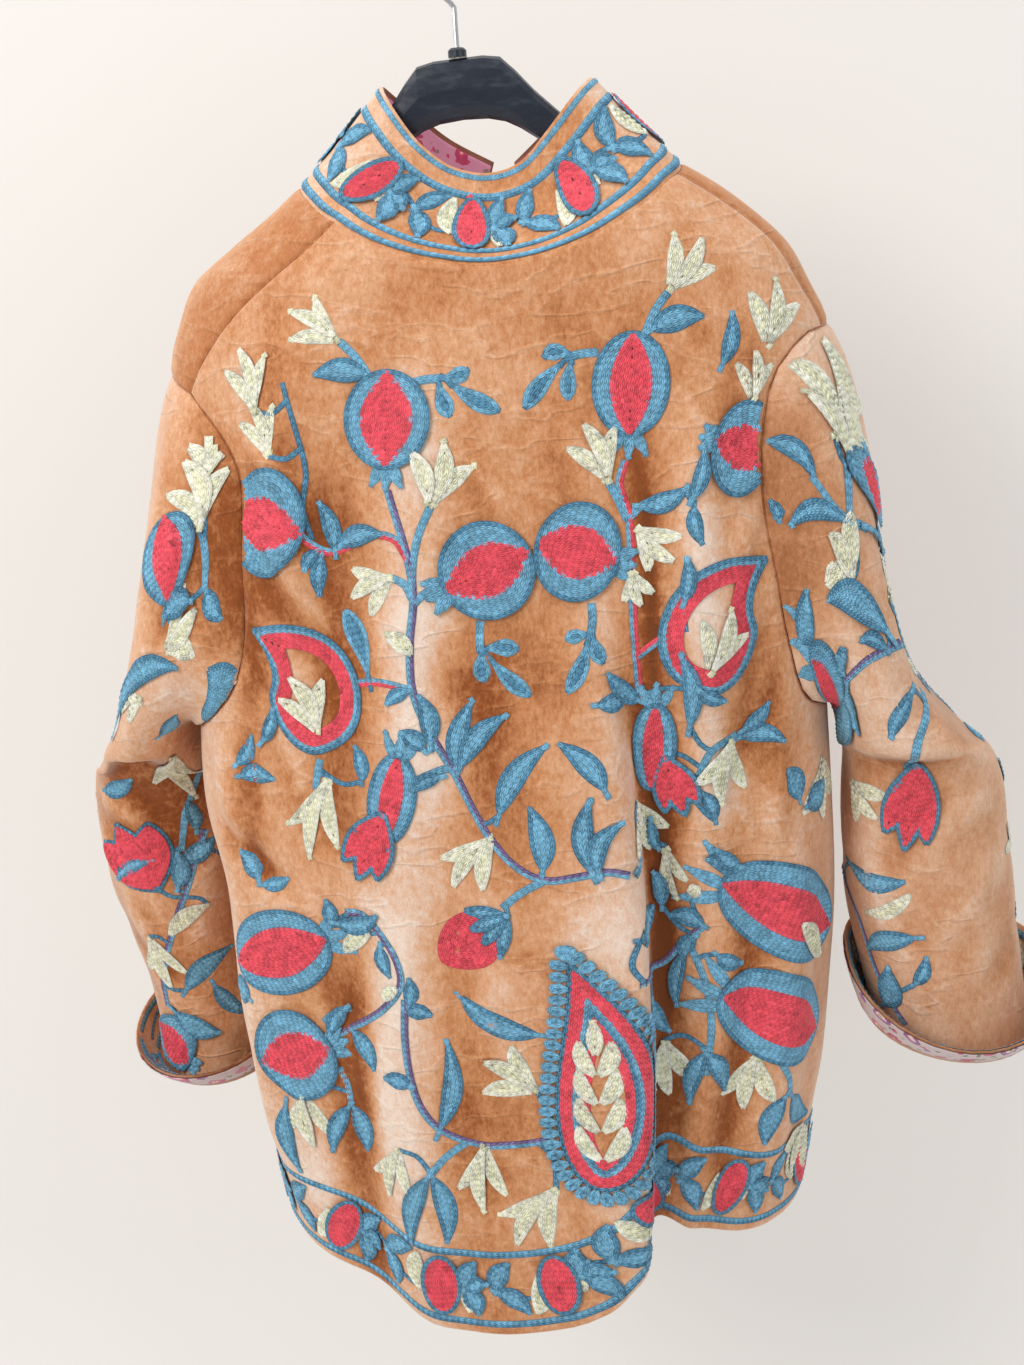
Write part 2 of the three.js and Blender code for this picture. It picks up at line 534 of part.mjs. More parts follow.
// ---------------------------------------------------------------- sleeves
// The armhole as a ring from the shoulder seam down the back, under the arm and up the front.
function armholeRing(side) {
  const front = armFront[side].slice(1, -1).reverse();
  const ring = [...armBack[side], ...front];
  const places = ring.map(({ q, z }) => cloth(q, z));
  const count = ring.length;
  const frames = ring.map(({ q, z }, j) => {
    const { normal } = bodyFrame(q, z);
    const along = places[(j + 1) % count].clone().sub(places[(j + count - 1) % count]);
    const away = new THREE.Vector3().crossVectors(along, normal).setLength(sign[side]);
    return { normal, away };
  });
  frames[ARM_STEPS.back].away.set(0, 0, 1);
  const top = places.reduce((best, p, j) => (p.z > places[best].z ? j : best), 0);
  const step = (j) => places[(j + 1) % count].distanceTo(places[j]);
  const angles = new Array(count);
  let backRun = 0;
  const backSteps = (ARM_STEPS.back - top + count) % count;
  for (let k = 0, j = top; k < backSteps; k += 1, j = (j + 1) % count) backRun += step(j);
  let frontRun = 0;
  for (let k = backSteps, j = ARM_STEPS.back; k < count; k += 1, j = (j + 1) % count) frontRun += step(j);
  let run = 0;
  for (let k = 0, j = top; k < count; k += 1, j = (j + 1) % count) {
    const onBack = k <= backSteps;
    angles[j] = onBack ? Math.PI * run / backRun : Math.PI + Math.PI * (run - backRun) / frontRun;
    run += step(j);
  }
  if (side === 'right') [places, frames, angles].forEach((list) => list.reverse());
  return { places, frames, angles };
}

function ringPoint(side, row, angle) {
  const { lift = 0, hang = 1, turn = 0 } = row;
  const turned = angle + radians(turn) * Math.cos(angle);
  const back = ((1 + Math.sin(turned)) / 2) ** hang;
  const x = row.x + sign[side] * row.across * Math.cos(turned);
  const z = lerp(row.front, row.back, back) + lift * (1 - Math.cos(angle)) / 2;
  return new THREE.Vector3(x, row.y + row.deep * Math.sin(turned), z);
}

function sleeveGrid(side) {
  const { places, frames, angles } = armholeRing(side);
  const rows = SLEEVE[side];
  const grid = [];
  const inwards = [];
  const starts = places.map((place, j) => {
    const low = smooth(1 - Math.abs(angles[j] - Math.PI) / (Math.PI * UNDER_SPAN));
    const lift = radians(lerp(HEAD_LIFT, 90, low));
    const { normal, away } = frames[j];
    const out = away.clone().multiplyScalar(Math.cos(lift)).addScaledVector(normal, Math.sin(lift));
    const turn = radians(90 * low);
    inwards.push(normal.clone().multiplyScalar(-Math.cos(turn)).addScaledVector(away, Math.sin(turn)));
    return { from: place.clone().addScaledVector(out, SEAM), out };
  });
  for (let k = 0; k < CAP_STEPS; k += 1) {
    const t = k / CAP_STEPS;
    grid.push(starts.map(({ from, out }, j) => {
      const to = ringPoint(side, rows[0], angles[j]);
      const next = ringPoint(side, rows[1], angles[j]);
      const reach = from.distanceTo(to);
      const end = next.sub(to).setLength(reach * HEAD_PULL.ring);
      const start = out.clone().multiplyScalar(reach * HEAD_PULL.seam);
      const t2 = t * t;
      const t3 = t2 * t;
      return from.clone().multiplyScalar(2 * t3 - 3 * t2 + 1).addScaledVector(start, t3 - 2 * t2 + t)
        .addScaledVector(to, 3 * t2 - 2 * t3).addScaledVector(end, t3 - t2);
    }));
  }
  for (const row of rows) grid.push(angles.map((angle) => ringPoint(side, row, angle)));
  return { grid, angles, inwards };
}

const wrapAngle = (angle) => (angle > Math.PI ? angle - 2 * Math.PI : angle);

// The end of a sleeve turned back on itself: rows of the turn and of the flap, velvet side facing in.
function turnBack(side, angles) {
  const end = SLEEVE[side][SLEEVE[side].length - 1];
  const turnRow = (angle, column) => (
    track(TURN_BACK[side], 'angle', THREE.MathUtils.radToDeg(wrapAngle(angle)), column)
  );
  const place = (angle, outward, up) => {
    const point = ringPoint(side, end, angle);
    const direction = new THREE.Vector3(sign[side] * Math.cos(angle), Math.sin(angle), 0);
    return point.addScaledVector(direction, outward).setZ(point.z + up);
  };
  const r = TURN_GAP;
  const bend = [
    { outward: 0.25 * r, up: -1.0 * r }, { outward: r, up: -1.6 * r }, { outward: 1.75 * r, up: -1.0 * r },
  ];
  const rows = bend.map(({ outward, up }) => angles.map((angle) => place(angle, outward, up)));
  for (const t of [0.12, 0.4, 0.7, 1]) {
    const swell = Math.sin(t * Math.PI / 2);
    rows.push(angles.map((angle) => {
      const outward = 2 * r + turnRow(angle, 'flare') * lerp(t, swell, 0.4);
      return place(angle, outward, turnRow(angle, 'rise') * t);
    }));
  }
  return rows;
}
function makeSleeve(side) {
  const { grid, angles, inwards } = sleeveGrid(side);
  grid.push(...turnBack(side, angles));
  return { grid, geometry: wall(grid, VELVET, true, (i, j) => (i === 0 ? inwards[j] : null)) };
}

// Printed lining on the outside of the turn-back: the last rows of the sleeve's grid, moved out.
const FLAP_ROWS = 4;
function makeCuffLining(grid) {
  return wall(liningGrid(grid, true, grid.length - FLAP_ROWS), PRINT, true);
}

// ---------------------------------------------------------------- collar
// Columns run from the right front edge round the back of the neck to the left front edge.
const neckRing = [
  ...[...neckFront.right].reverse(), ...neckBack.slice(1, -1), ...neckFront.left,
];

function collarGrid() {
  const foot = neckRing.map(({ q, z }) => cloth(q, z).add(new THREE.Vector3(0, 0, SEAM)));
  const rim = neckRing.map(({ q }) => {
    const at = (column) => track(COLLAR, 'q', q, column);
    return new THREE.Vector3(at('x'), at('y'), at('z'));
  });
  const last = neckRing.length - 1;
  const outward = neckRing.map((_, j) => {
    const along = rim[Math.min(j + 1, last)].clone().sub(rim[Math.max(j - 1, 0)]);
    return new THREE.Vector3().crossVectors(rim[j].clone().sub(foot[j]), along).normalize();
  });
  return COLLAR_ROWS.map((share) => neckRing.map(({ q }, j) => {
    const bow = track(COLLAR, 'q', q, 'bow') * Math.sin(Math.PI * share);
    return foot[j].clone().lerp(rim[j], share).addScaledVector(outward[j], bow);
  }));
}

function makeCollar() {
  const seam = neckRing.map(({ q, z }) => bodyFrame(q, z).normal.negate());
  return wall(collarGrid(), VELVET, false, (i, j) => (i === 0 ? seam[j] : null));
}

function makeCollarLining() {
  const rows = liningGrid(collarGrid(), false, 0);
  rows.forEach((row) => {
    const last = row.length - 1;
    row[0].lerp(row[1], LINING_END);
    row[last].lerp(row[last - 1], LINING_END);
  });
  return wall(rows, PRINT, false);
}

// ---------------------------------------------------------------- hanger
function makeHangerBody() {
  const stations = [...HANGER.slice(1).reverse().map((row) => ({ ...row, x: -row.x })), ...HANGER];
  const points = [];
  for (const { x, top, bottom, half } of stations) {
    for (let k = 0; k < HANGER_SIDES; k += 1) {
      const angle = 2 * Math.PI * k / HANGER_SIDES;
      const bulge = (v) => Math.sign(v) * Math.abs(v) ** (2 / HANGER_ROUND);
      const y = half * bulge(Math.cos(angle));
      const z = (top + bottom) / 2 + (top - bottom) / 2 * bulge(Math.sin(angle));
      points.push(new THREE.Vector3(x, y, z));
    }
  }
  const n = HANGER_SIDES;
  const faces = [];
  for (let i = 0; i < stations.length - 1; i += 1) {
    for (let k = 0; k < n; k += 1) {
      const a = i * n + k;
      const b = i * n + (k + 1) % n;
      faces.push([a, b, b + n], [a, b + n, a + n]);
    }
  }
  const end = (stations.length - 1) * n;
  for (let k = 1; k < n - 1; k += 1) {
    faces.push([0, k + 1, k]);
    faces.push([end, end + k, end + k + 1]);
  }
  return solid(points, faces);
}

function makeHook() {
  const radius = HOOK.inside + HOOK.wire;
  const centre = -HOOK.inside;
  const points = [];
  for (const share of shares(HOOK.stemSteps)) {
    points.push(new THREE.Vector3(0, 0, lerp(HOOK.stemFoot, HOOK.stemTop, share)));
  }
  for (let angle = HOOK.start; angle <= HOOK.end; angle += HOOK.step) {
    const turn = radians(angle);
    points.push(new THREE.Vector3(radius * Math.cos(turn), 0, centre + radius * Math.sin(turn)));
  }
  const path = new THREE.CatmullRomCurve3(points, false, 'centripetal');
  const section = new THREE.Shape();
  section.absarc(0, 0, HOOK.wire, 0, 2 * Math.PI);
  return new THREE.ExtrudeGeometry(section, {
    extrudePath: path, steps: HOOK.steps, curveSegments: HOOK.sides / 2,
  });
}

function makeBoss() {
  const { radius, bore, foot, top, edge, sides: count } = BOSS;
  const profile = [
    [bore, foot], [radius, foot], [radius, top - edge], [radius - edge, top], [bore, top], [bore, foot],
  ].map(([x, y]) => new THREE.Vector2(x, y));
  const geometry = new THREE.LatheGeometry(profile, count);
  geometry.rotateX(Math.PI / 2);
  return geometry;
}

// ---------------------------------------------------------------- assembly
add('back', makeBack(), velvet);
for (const side of sides) add(`front_${side}`, makeFront(side), velvet);
for (const side of sides) {
  const { grid, geometry } = makeSleeve(side);
  add(`sleeve_${side}`, geometry, velvet);
  add(`cuff_lining_${side}`, makeCuffLining(grid), print);
}
add('collar', makeCollar(), velvet);
add('collar_lining', makeCollarLining(), print);

const hanger = new THREE.Group();
const neckZ = HANGER[0].top;
hanger.position.z = neckZ;
hanger.rotation.y = radians(HANGER_TILT);
part.add(hanger);
const hangerBody = add('hanger_body', makeHangerBody(), plastic, hanger);
hangerBody.position.z = -neckZ;
add('hanger_boss', makeBoss(), plastic);
add('hanger_hook', makeHook(), steel);

export default part;
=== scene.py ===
import math

import bpy
import numpy as np
from mathutils import Matrix, Vector


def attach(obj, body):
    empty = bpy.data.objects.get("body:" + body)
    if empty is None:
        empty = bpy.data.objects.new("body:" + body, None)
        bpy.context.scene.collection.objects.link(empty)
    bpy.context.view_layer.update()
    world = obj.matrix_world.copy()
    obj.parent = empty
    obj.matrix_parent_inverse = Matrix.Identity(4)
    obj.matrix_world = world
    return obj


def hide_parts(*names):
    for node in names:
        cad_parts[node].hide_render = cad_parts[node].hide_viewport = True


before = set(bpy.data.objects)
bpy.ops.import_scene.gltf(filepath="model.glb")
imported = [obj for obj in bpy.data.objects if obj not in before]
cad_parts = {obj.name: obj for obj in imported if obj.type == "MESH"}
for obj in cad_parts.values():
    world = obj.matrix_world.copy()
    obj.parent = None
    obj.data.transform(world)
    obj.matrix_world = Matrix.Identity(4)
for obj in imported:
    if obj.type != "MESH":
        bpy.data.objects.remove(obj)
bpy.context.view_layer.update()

# ------------------------------------------------------------------ tables of the garment, in mm


def table(columns, rows):
    names = columns.split()
    return {name: np.array([row[i] for row in rows], float) for i, name in enumerate(names)}


def marks(columns, rows):
    names = columns.split()
    return [dict(zip(names, row)) for row in rows]


# Horizontal sections of the body. q runs round: 0 centre back, 1 left side, -1 right side, 2 front.
BODY = table("z centre left right back front square", [
    (-950, -9, 196, 196, 134, 104, 0.03), (-830, -7, 212, 213, 126, 101, 0.04),
    (-780, -7, 220, 221, 122, 99, 0.045), (-720, -7, 226, 226, 117, 97, 0.05),
    (-640, -7, 226, 231, 111, 93, 0.05), (-560, -7, 231, 227, 105, 90, 0.05),
    (-480, -7, 226, 222, 98, 86, 0.05), (-350, -8, 222, 222, 86, 78, 0.04),
    (-262, -9, 221, 222, 76, 70, 0.03), (-228, -10, 211, 207, 72, 66, 0.02),
    (-206, -11, 200, 194, 69, 64, 0.01), (-186, -12, 174, 173, 65, 62, 0),
    (-167, -12, 145, 149, 61, 60, 0), (-149, -12.5, 121, 120, 56, 56, 0),
    (-125, -13, 84, 84, 46, 46, 0),
])
FRONT_EDGE = 1.93
UNDERARM_Z = -516
NECK_BACK = [(-0.72, -160), (-0.6, -165), (-0.385, -182), (-0.225, -197), (-0.11, -205), (-0.015, -207),
             (0.085, -202), (0.21, -192), (0.395, -174.5)]
NECK_FRONT = {
    1: [(0.395, -174.5), (0.65, -158), (0.95, -149.5), (1.2, -152), (1.43, -160), (1.66, -179),
        (1.82, -200), (FRONT_EDGE, -222)],
    -1: [(-0.72, -160), (-0.955, -153.5), (-1.2, -155), (-1.43, -163), (-1.66, -181), (-1.82, -201),
         (-FRONT_EDGE, -222)],
}
SHOULDER = {
    1: [(0.395, -174.5), (0.445, -205), (0.525, -229), (0.595, -255), (0.655, -276)],
    -1: [(-0.72, -160), (-0.79, -190), (-0.815, -222), (-0.845, -259)],
}
ARM_BACK = {
    1: [(0.655, -276), (0.54, -299), (0.472, -326), (0.472, -385), (0.478, -440), (0.54, -478),
        (0.72, -505), (1, UNDERARM_Z)],
    -1: [(-0.845, -259), (-0.72, -262), (-0.58, -283), (-0.53, -320), (-0.525, -364), (-0.565, -414),
         (-0.605, -454), (-0.7, -497), (-1, UNDERARM_Z)],
}
ARM_FRONT = {
    1: [(0.655, -276), (0.815, -268), (1.05, -264), (1.28, -278), (1.44, -318), (1.5, -380),
        (1.47, -440), (1.34, -490), (1, UNDERARM_Z)],
    -1: [(-0.845, -259), (-1.05, -259), (-1.28, -274), (-1.44, -314), (-1.5, -380), (-1.47, -440),
         (-1.34, -490), (-1, UNDERARM_Z)],
}
NECK_MIDDLE = -0.16          # q of the back's middle line at the neck
MID_ARMHOLE = 0.56           # share of the front armhole beside the neck's rows
MIDDLE_LEVEL = (0.6, 0.25)
EDGE_DIP = 24
BACK_DIP = table("at dip", [(0, 36), (0.22, -10), (0.38, 2), (0.55, 14), (1, 40)])
HEM = table("q z", [
    (-2, -905), (-1, -903), (-0.775, -899), (-0.54, -895), (-0.36, -881), (-0.28, -869), (-0.24, -876),
    (-0.2, -890), (-0.17, -901), (-0.13, -919), (-0.055, -934), (0.07, -943), (0.18, -939),
    (0.295, -927), (0.435, -912), (0.7, -903), (1, -903), (2, -905),
])
# Soft folds: a ridge or trough along a line, half width and length of its ends in mm.
FOLDS = marks("q0 z0 q1 z1 out wide fade", [
    (0.36, -225, 0.3, -450, 6, 22, 70), (0.27, -290, 0.25, -520, -7, 20, 80),
    (0.075, -235, 0.23, -960, 7, 26, 120), (0.3, -620, 0.36, -960, -8, 30, 90),
    (0.62, -560, 0.4, -625, -9, 20, 30), (-0.38, -250, -0.33, -960, 8, 20, 120),
    (1.45, -420, 1.4, -960, 7, 30, 150), (1.7, -330, 1.66, -960, -7, 28, 120),
    (-1.5, -400, -1.45, -960, 7, 28, 140), (-1.74, -360, -1.7, -960, -6, 26, 120),
])
# Smaller creases, only here: drags from the armholes, drifts across the back, buckles at the waist.
CREASES = marks("q0 z0 q1 z1 out wide fade", [
    (0.45, -330, 0.2, -470, 3.5, 9, 50), (0.46, -392, 0.24, -520, 3, 8, 40),
    (0.47, -440, 0.3, -600, -3.5, 10, 60), (-0.52, -330, -0.4, -470, 3, 9, 50),
    (-0.55, -420, -0.42, -560, -3, 10, 50), (0, -225, -0.06, -430, 1.6, 16, 60),
    (0.02, -560, -0.03, -900, 2.4, 18, 90), (0.15, -300, 0.05, -520, -2, 14, 70),
    (0.42, -640, 0.3, -760, 3, 12, 40), (0.6, -600, 0.55, -900, 4, 18, 90),
    (0.78, -560, 0.82, -900, -4, 20, 90), (-0.62, -560, -0.6, -900, 4, 18, 90),
    (-0.8, -560, -0.78, -900, -4, 20, 90), (-0.48, -600, -0.44, -900, -3, 14, 80),
    (1.2, -520, 1.25, -900, -4, 22, 90), (-1.2, -520, -1.22, -900, -4, 22, 90),
    (1.3, -300, 1.6, -480, 3, 12, 60), (-1.3, -300, -1.62, -470, 3, 12, 60),
    (0.12, -700, 0.02, -790, 1.8, 9, 30), (-0.05, -470, -0.14, -600, 2, 11, 50),
    (0.35, -700, 0.42, -860, 3.5, 12, 50), (-0.25, -700, -0.27, -860, 2.5, 9, 50),
    (0.44, -300, 0.34, -352, 4, 7, 24), (0.46, -345, 0.3, -415, 4, 7, 30),
    (0.47, -410, 0.36, -455, 3.5, 6, 24), (0.48, -455, 0.37, -520, 3.5, 7, 30),
    (0.52, -480, 0.44, -570, -4, 7, 40), (0.6, -505, 0.5, -640, 4, 9, 50),
    (-0.5, -330, -0.42, -372, 3, 6, 24), (-0.52, -380, -0.43, -440, -3.5, 7, 30),
    (-0.55, -440, -0.46, -520, 3.5, 7, 36), (-0.6, -470, -0.53, -620, 4, 9, 50),
    (0.1, -238, -0.02, -262, 1.6, 6, 24), (-0.02, -246, -0.14, -268, 1.5, 6, 24),
    (0.16, -262, 0.3, -285, 1.4, 6, 20), (-0.1, -300, -0.2, -345, 2, 7, 30),
    (0.02, -330, -0.09, -372, 1.6, 6, 26), (0.2, -352, 0.09, -402, 1.7, 7, 30),
    (-0.04, -420, 0.07, -470, 1.6, 7, 30), (0.22, -470, 0.1, -530, 2, 8, 40),
    (0, -520, -0.13, -560, 1.8, 7, 30), (0.32, -560, 0.2, -640, 2.4, 8, 40),
    (-0.02, -640, 0.09, -730, 2, 8, 50), (0.1, -760, -0.02, -830, 2.2, 9, 40),
    (0.4, -720, 0.5, -820, 3.5, 10, 50), (-0.3, -430, -0.24, -520, 2.2, 6, 40),
    (-0.33, -560, -0.26, -660, 2.6, 7, 50), (-0.4, -640, -0.36, -800, 3, 9, 60),
    (0.55, -700, 0.62, -860, 4, 12, 60),
])
# Painted light and shade on the velvet, along a line in the same way: pale (above 0) where a fold's flank
# catches the light, dark (below) in a fold's shade.
LIT_AND_SHADED_STREAKS = marks("q0 z0 q1 z1 out wide fade", [
    (0.111, -225, 0.113, -386, 0.2, 16, 60), (0.117, -360, 0.095, -585, 0.3, 20, 70),
    (0.09, -558, 0.019, -692, 0.2, 24, 60), (0.162, -564, 0.267, -883, 0.22, 14, 80),
    (0.472, -784, 0.484, -884, 0.25, 20, 30), (-0.37, -339, -0.384, -600, 0.3, 15, 60),
    (-0.314, -615, -0.315, -747, 0.2, 12, 50), (-0.144, -579, -0.147, -683, 0.18, 14, 50),
    (-0.104, -823, -0.145, -853, 0.15, 16, 20), (-0.075, -248, -0.104, -309, 0.14, 22, 40),
    (0.511, -237, 0.441, -306, 0.2, 14, 40), (-0.391, -206, -0.398, -255, 0.12, 20, 30),
    (0.391, -220, 0.298, -410, -0.34, 15, 50), (0.448, -384, 0.488, -623, -0.25, 12, 60),
    (0.272, -438, 0.271, -616, -0.2, 18, 60), (0.042, -635, -0.07, -673, -0.2, 26, 20),
    (-0.108, -441, -0.112, -493, -0.16, 26, 30), (-0.263, -306, -0.255, -732, -0.32, 12, 60),
    (-0.243, -233, -0.244, -368, -0.2, 14, 50), (-0.534, -439, -0.597, -608, -0.3, 14, 60),
    (-0.515, -239, -0.409, -340, -0.18, 12, 40), (0.248, -637, 0.328, -851, -0.2, 12, 60),
    (0.444, -848, 0.233, -918, -0.12, 20, 20), (0.029, -439, 0.028, -518, -0.14, 20, 30),
    (-0.078, -599, -0.126, -616, -0.2, 14, 10), (-0.02, -400, -0.1, -640, -0.14, 42, 60),
    (0.02, -270, 0.2, -330, -0.1, 40, 40), (-0.16, -660, -0.2, -840, -0.16, 40, 60),
    (0.06, -720, 0, -860, -0.18, 40, 50), (0.45, -330, 0.42, -460, -0.14, 34, 40),
    (-0.42, -620, -0.45, -860, -0.14, 40, 60), (0.36, -640, 0.45, -800, -0.12, 30, 50),
    (0.52, -500, 0.5, -640, -0.16, 26, 50), (0.2, -420, 0.21, -560, -0.12, 26, 40),
    (-0.268, -330, -0.262, -760, -0.3, 5, 60), (-0.35, -420, -0.4, -560, -0.14, 30, 50),
])
LOWEST = -940                # folds that end below this height run off the hem
EVEN_ABOVE, EVEN_FADE = -190, 60               # the cloth is even at the neck
DEEP = dict(q0=-0.16, q1=-0.185, start=-385, full=-640)
DEEP_PROFILE = table("right out shift", [
    (-110, 0, 0), (-60, 3, 2), (-28, 8, 7), (-8, 11, 13), (3, 7, 15), (11, -8, 10), (19, -22, 3),
    (30, -29, 0), (55, -29, 0), (110, -18, 0), (180, -6, 0), (250, 0, 0),
])
SLEEVE = {
    1: table("back front x y across deep lift hang turn", [
        (-514, -524, 257, -8, 30, 70, 0, 1, 0), (-532, -545, 267, -18, 37, 66, 0, 1, 0),
        (-536, -558, 276, -30, 44, 51, 0, 12, 15), (-560, -576, 281, -41, 48, 48, 0, 1, 8),
        (-612, -614, 284, -53, 55, 48, 0, 1, 0), (-660, -656, 281, -54, 56, 49, 0, 1, 0),
        (-710, -700, 277, -59, 52, 49, 0, 1, 0), (-753, -738, 272, -62, 48, 48, 0, 1, 0),
        (-793, -774, 269, -62, 47, 49, 0, 1, 0), (-824, -802, 267, -60, 48, 50, 0, 1, 0),
    ]),
    -1: table("back front x y across deep lift hang turn", [
        (-514, -520, -268, 0, 36, 66, 0, 1, 0), (-536, -540, -279, 1, 44, 64, 0, 1, 0),
        (-546, -560, -289, -6, 50, 56, 0, 1, 0), (-575, -585, -294, -8, 55, 54, 0, 1, 0),
        (-625, -625, -297, -9, 58, 53, 0, 1, 0), (-665, -660, -300, -9, 59, 52, 0, 1, 0),
        (-705, -694, -305, -8, 58, 52, 0, 1, 0), (-738, -724, -310, -6, 57, 52, 4, 1, 0),
        (-770, -750, -315, -4, 57, 53, 10, 1, 0),
    ]),
}
HEAD_LIFT = 22
HEAD_PULL = (0.75, 0.8)
UNDER_SPAN = 0.5
TURN_BACK = {
    1: table("angle rise flare", [(-180, 38, 6), (-90, 36, 11), (0, 26, 12), (90, 20, 23), (180, 38, 6)]),
    -1: table("angle rise flare", [(-180, 50, 12), (-90, 44, 11), (0, 38, 14), (90, 19, 22), (180, 50, 12)]),
}
TURN_GAP = 2.2               # radius of the cuff's turn
CUFF_TURN_ROWS = 6
# Creases of the sleeves by ring angle and height: degrees, z, degrees, z, out, half width, ends.
SLEEVE_CREASES = marks("a0 z0 a1 z1 out wide fade", [
    (20, -330, 60, -520, 3, 12, 50), (60, -300, 92, -480, -2.5, 12, 50), (95, -330, 118, -500, 3, 12, 50),
    (130, -380, 150, -530, -3, 12, 40), (-10, -360, 10, -540, -3, 14, 50),
    (40, -575, 100, -600, 3.5, 9, 25), (80, -560, 140, -640, -3.5, 10, 30),
    (30, -610, 110, -690, 3, 10, 30), (150, -600, 100, -720, 3, 10, 40), (20, -680, 90, -740, -3, 11, 30),
    (60, -640, 70, -790, 2.5, 10, 40), (-40, -600, 0, -760, 3, 14, 40),
    (-100, -600, -80, -760, 4, 18, 50), (-140, -340, -120, -560, -4, 18, 60),
    (-60, -340, -70, -560, 4, 18, 60),
])
COLLAR = table("q x y z bow", [
    (-FRONT_EDGE, -26, -60, -141, 0), (-1.66, -48, -50, -124, 0), (-1.43, -68, -34, -108, 0),
    (-1.2, -80, -17, -99, 0), (-0.955, -85, 0, -97, -1), (-0.72, -79, 13, -103, -2),
    (-0.6, -71, 18, -112, -4), (-0.385, -55, 21, -130, -6), (-0.225, -41, 22, -144, -8),
    (-0.11, -31, 22, -149, -9), (-0.015, -20, 22, -151, -9), (0.085, -8, 22, -150, -8),
    (0.21, 8, 22, -144, -6), (0.395, 26, 20, -129, -4), (0.65, 42, 14, -107, -2),
    (0.95, 51, 1, -92, -1), (1.2, 46, -16, -97, 0), (1.43, 34, -34, -108, 0),
    (1.66, 16, -50, -124, 0), (FRONT_EDGE, -11, -60, -140, 0),
])

# ------------------------------------------------------------------ curves


def track(t, by, at, column):
    x, y = t[by], t[column]
    at = np.asarray(at, float)
    i = np.clip(np.searchsorted(x, at) - 1, 0, len(x) - 2)
    low, high = np.maximum(np.arange(len(x)) - 1, 0), np.minimum(np.arange(len(x)) + 1, len(x) - 1)
    slope = (y[high] - y[low]) / (x[high] - x[low])
    span = x[i + 1] - x[i]
    s = np.clip((at - x[i]) / span, 0, 1)
    s2, s3 = s * s, s**3
    return ((2 * s3 - 3 * s2 + 1) * y[i] + (s3 - 2 * s2 + s) * span * slope[i]
            + (3 * s2 - 2 * s3) * y[i + 1] + (s3 - s2) * span * slope[i + 1])


def smooth(t):
    t = np.clip(t, 0, 1)
    return t * t * (3 - 2 * t)


def unit(v):
    return v / np.maximum(np.linalg.norm(v, axis=-1, keepdims=True), 1e-9)


def run_along(points):
    """The length up to each point; down a grid it is the mean of the columns."""
    hop = np.linalg.norm(np.diff(points, axis=0), axis=-1)
    return np.concatenate([[0], np.cumsum(hop if hop.ndim == 1 else hop.mean(1))])


def nearest(points, others):
    """The square of each point's distance from the nearest of the others."""
    return ((points[:, None] - others[None]) ** 2).sum(-1).min(1)


def through(points, steps):
    """Centripetal Catmull-Rom through points (first axis), with so many steps a span."""
    p = np.asarray(points, float)
    p = np.concatenate([2 * p[:1] - p[1:2], p, 2 * p[-1:] - p[-2:-1]])
    out = []
    t = np.arange(steps) / steps
    for k in range(1, len(p) - 2):
        d = [np.maximum(np.linalg.norm(p[k + i] - p[k + i - 1], axis=-1, keepdims=True), 1e-6) ** 0.5
             for i in range(3)]
        a, b, c, e = p[k - 1], p[k], p[k + 1], p[k + 2]
        m1 = ((b - a) / d[0] - (c - a) / (d[0] + d[1]) + (c - b) / d[1]) * d[1]
        m2 = ((c - b) / d[1] - (e - b) / (d[1] + d[2]) + (e - c) / d[2]) * d[1]
        for s in t:
            out.append((2 * s**3 - 3 * s**2 + 1) * b + (s**3 - 2 * s**2 + s) * m1
                       + (3 * s**2 - 2 * s**3) * c + (s**3 - s**2) * m2)
    out.append(p[-2])
    return np.array(out)


def noise(*axes, seed=0, octaves=3):
    """Smooth noise from a few waves, about -1 to 1."""
    rng = np.random.default_rng(seed)
    total = 0
    for k in range(octaves * 3):
        f = 2.0 ** (k // 3)
        phase = rng.uniform(0, 6.283, 2)
        w = rng.normal(0, 1, len(axes)) * f
        total = total + np.sin(sum(a * v for a, v in zip(axes, w)) + phase[0]) / f
    return total / (1.8 * octaves**0.5)

# ------------------------------------------------------------------ the body's surface


def body(q, z):
    q, z = np.broadcast_arrays(np.asarray(q, float), np.asarray(z, float))
    at = {c: track(BODY, "z", z, c) for c in BODY if c != "z"}
    turn = q * np.pi / 2
    across = (np.sin(turn) + at["square"] * np.sin(3 * turn)) / (1 - at["square"])
    deep = (np.cos(turn) - at["square"] * np.cos(3 * turn)) / (1 - at["square"])
    x = at["centre"] + across * np.where(across > 0, at["left"], at["right"])
    y = deep * np.where(deep > 0, at["back"], at["front"])
    return np.stack([x, y, z + 0 * x], -1)


def body_frame(q, z):
    around = unit(body(q + 0.004, z) - body(q - 0.004, z))
    down = unit(body(q, z - 1) - body(q, z + 1))
    return around, unit(np.cross(around, down))


def fold_out(folds, q, z):
    here = body(q, z)
    total = np.zeros(here.shape[:-1])
    for f in folds:
        along = (f["z0"] - z) / (f["z0"] - f["z1"])
        fade = f["fade"] / (f["z0"] - f["z1"])
        shut = 1 if f["z1"] < LOWEST else smooth((1 - along) / fade)
        line = f["q0"] + (f["q1"] - f["q0"]) * np.clip(along, 0, 1)
        away = np.linalg.norm(here - body(line, z), axis=-1) / f["wide"]
        total += f["out"] * smooth(along / fade) * shut * np.exp(-away * away)
    return total


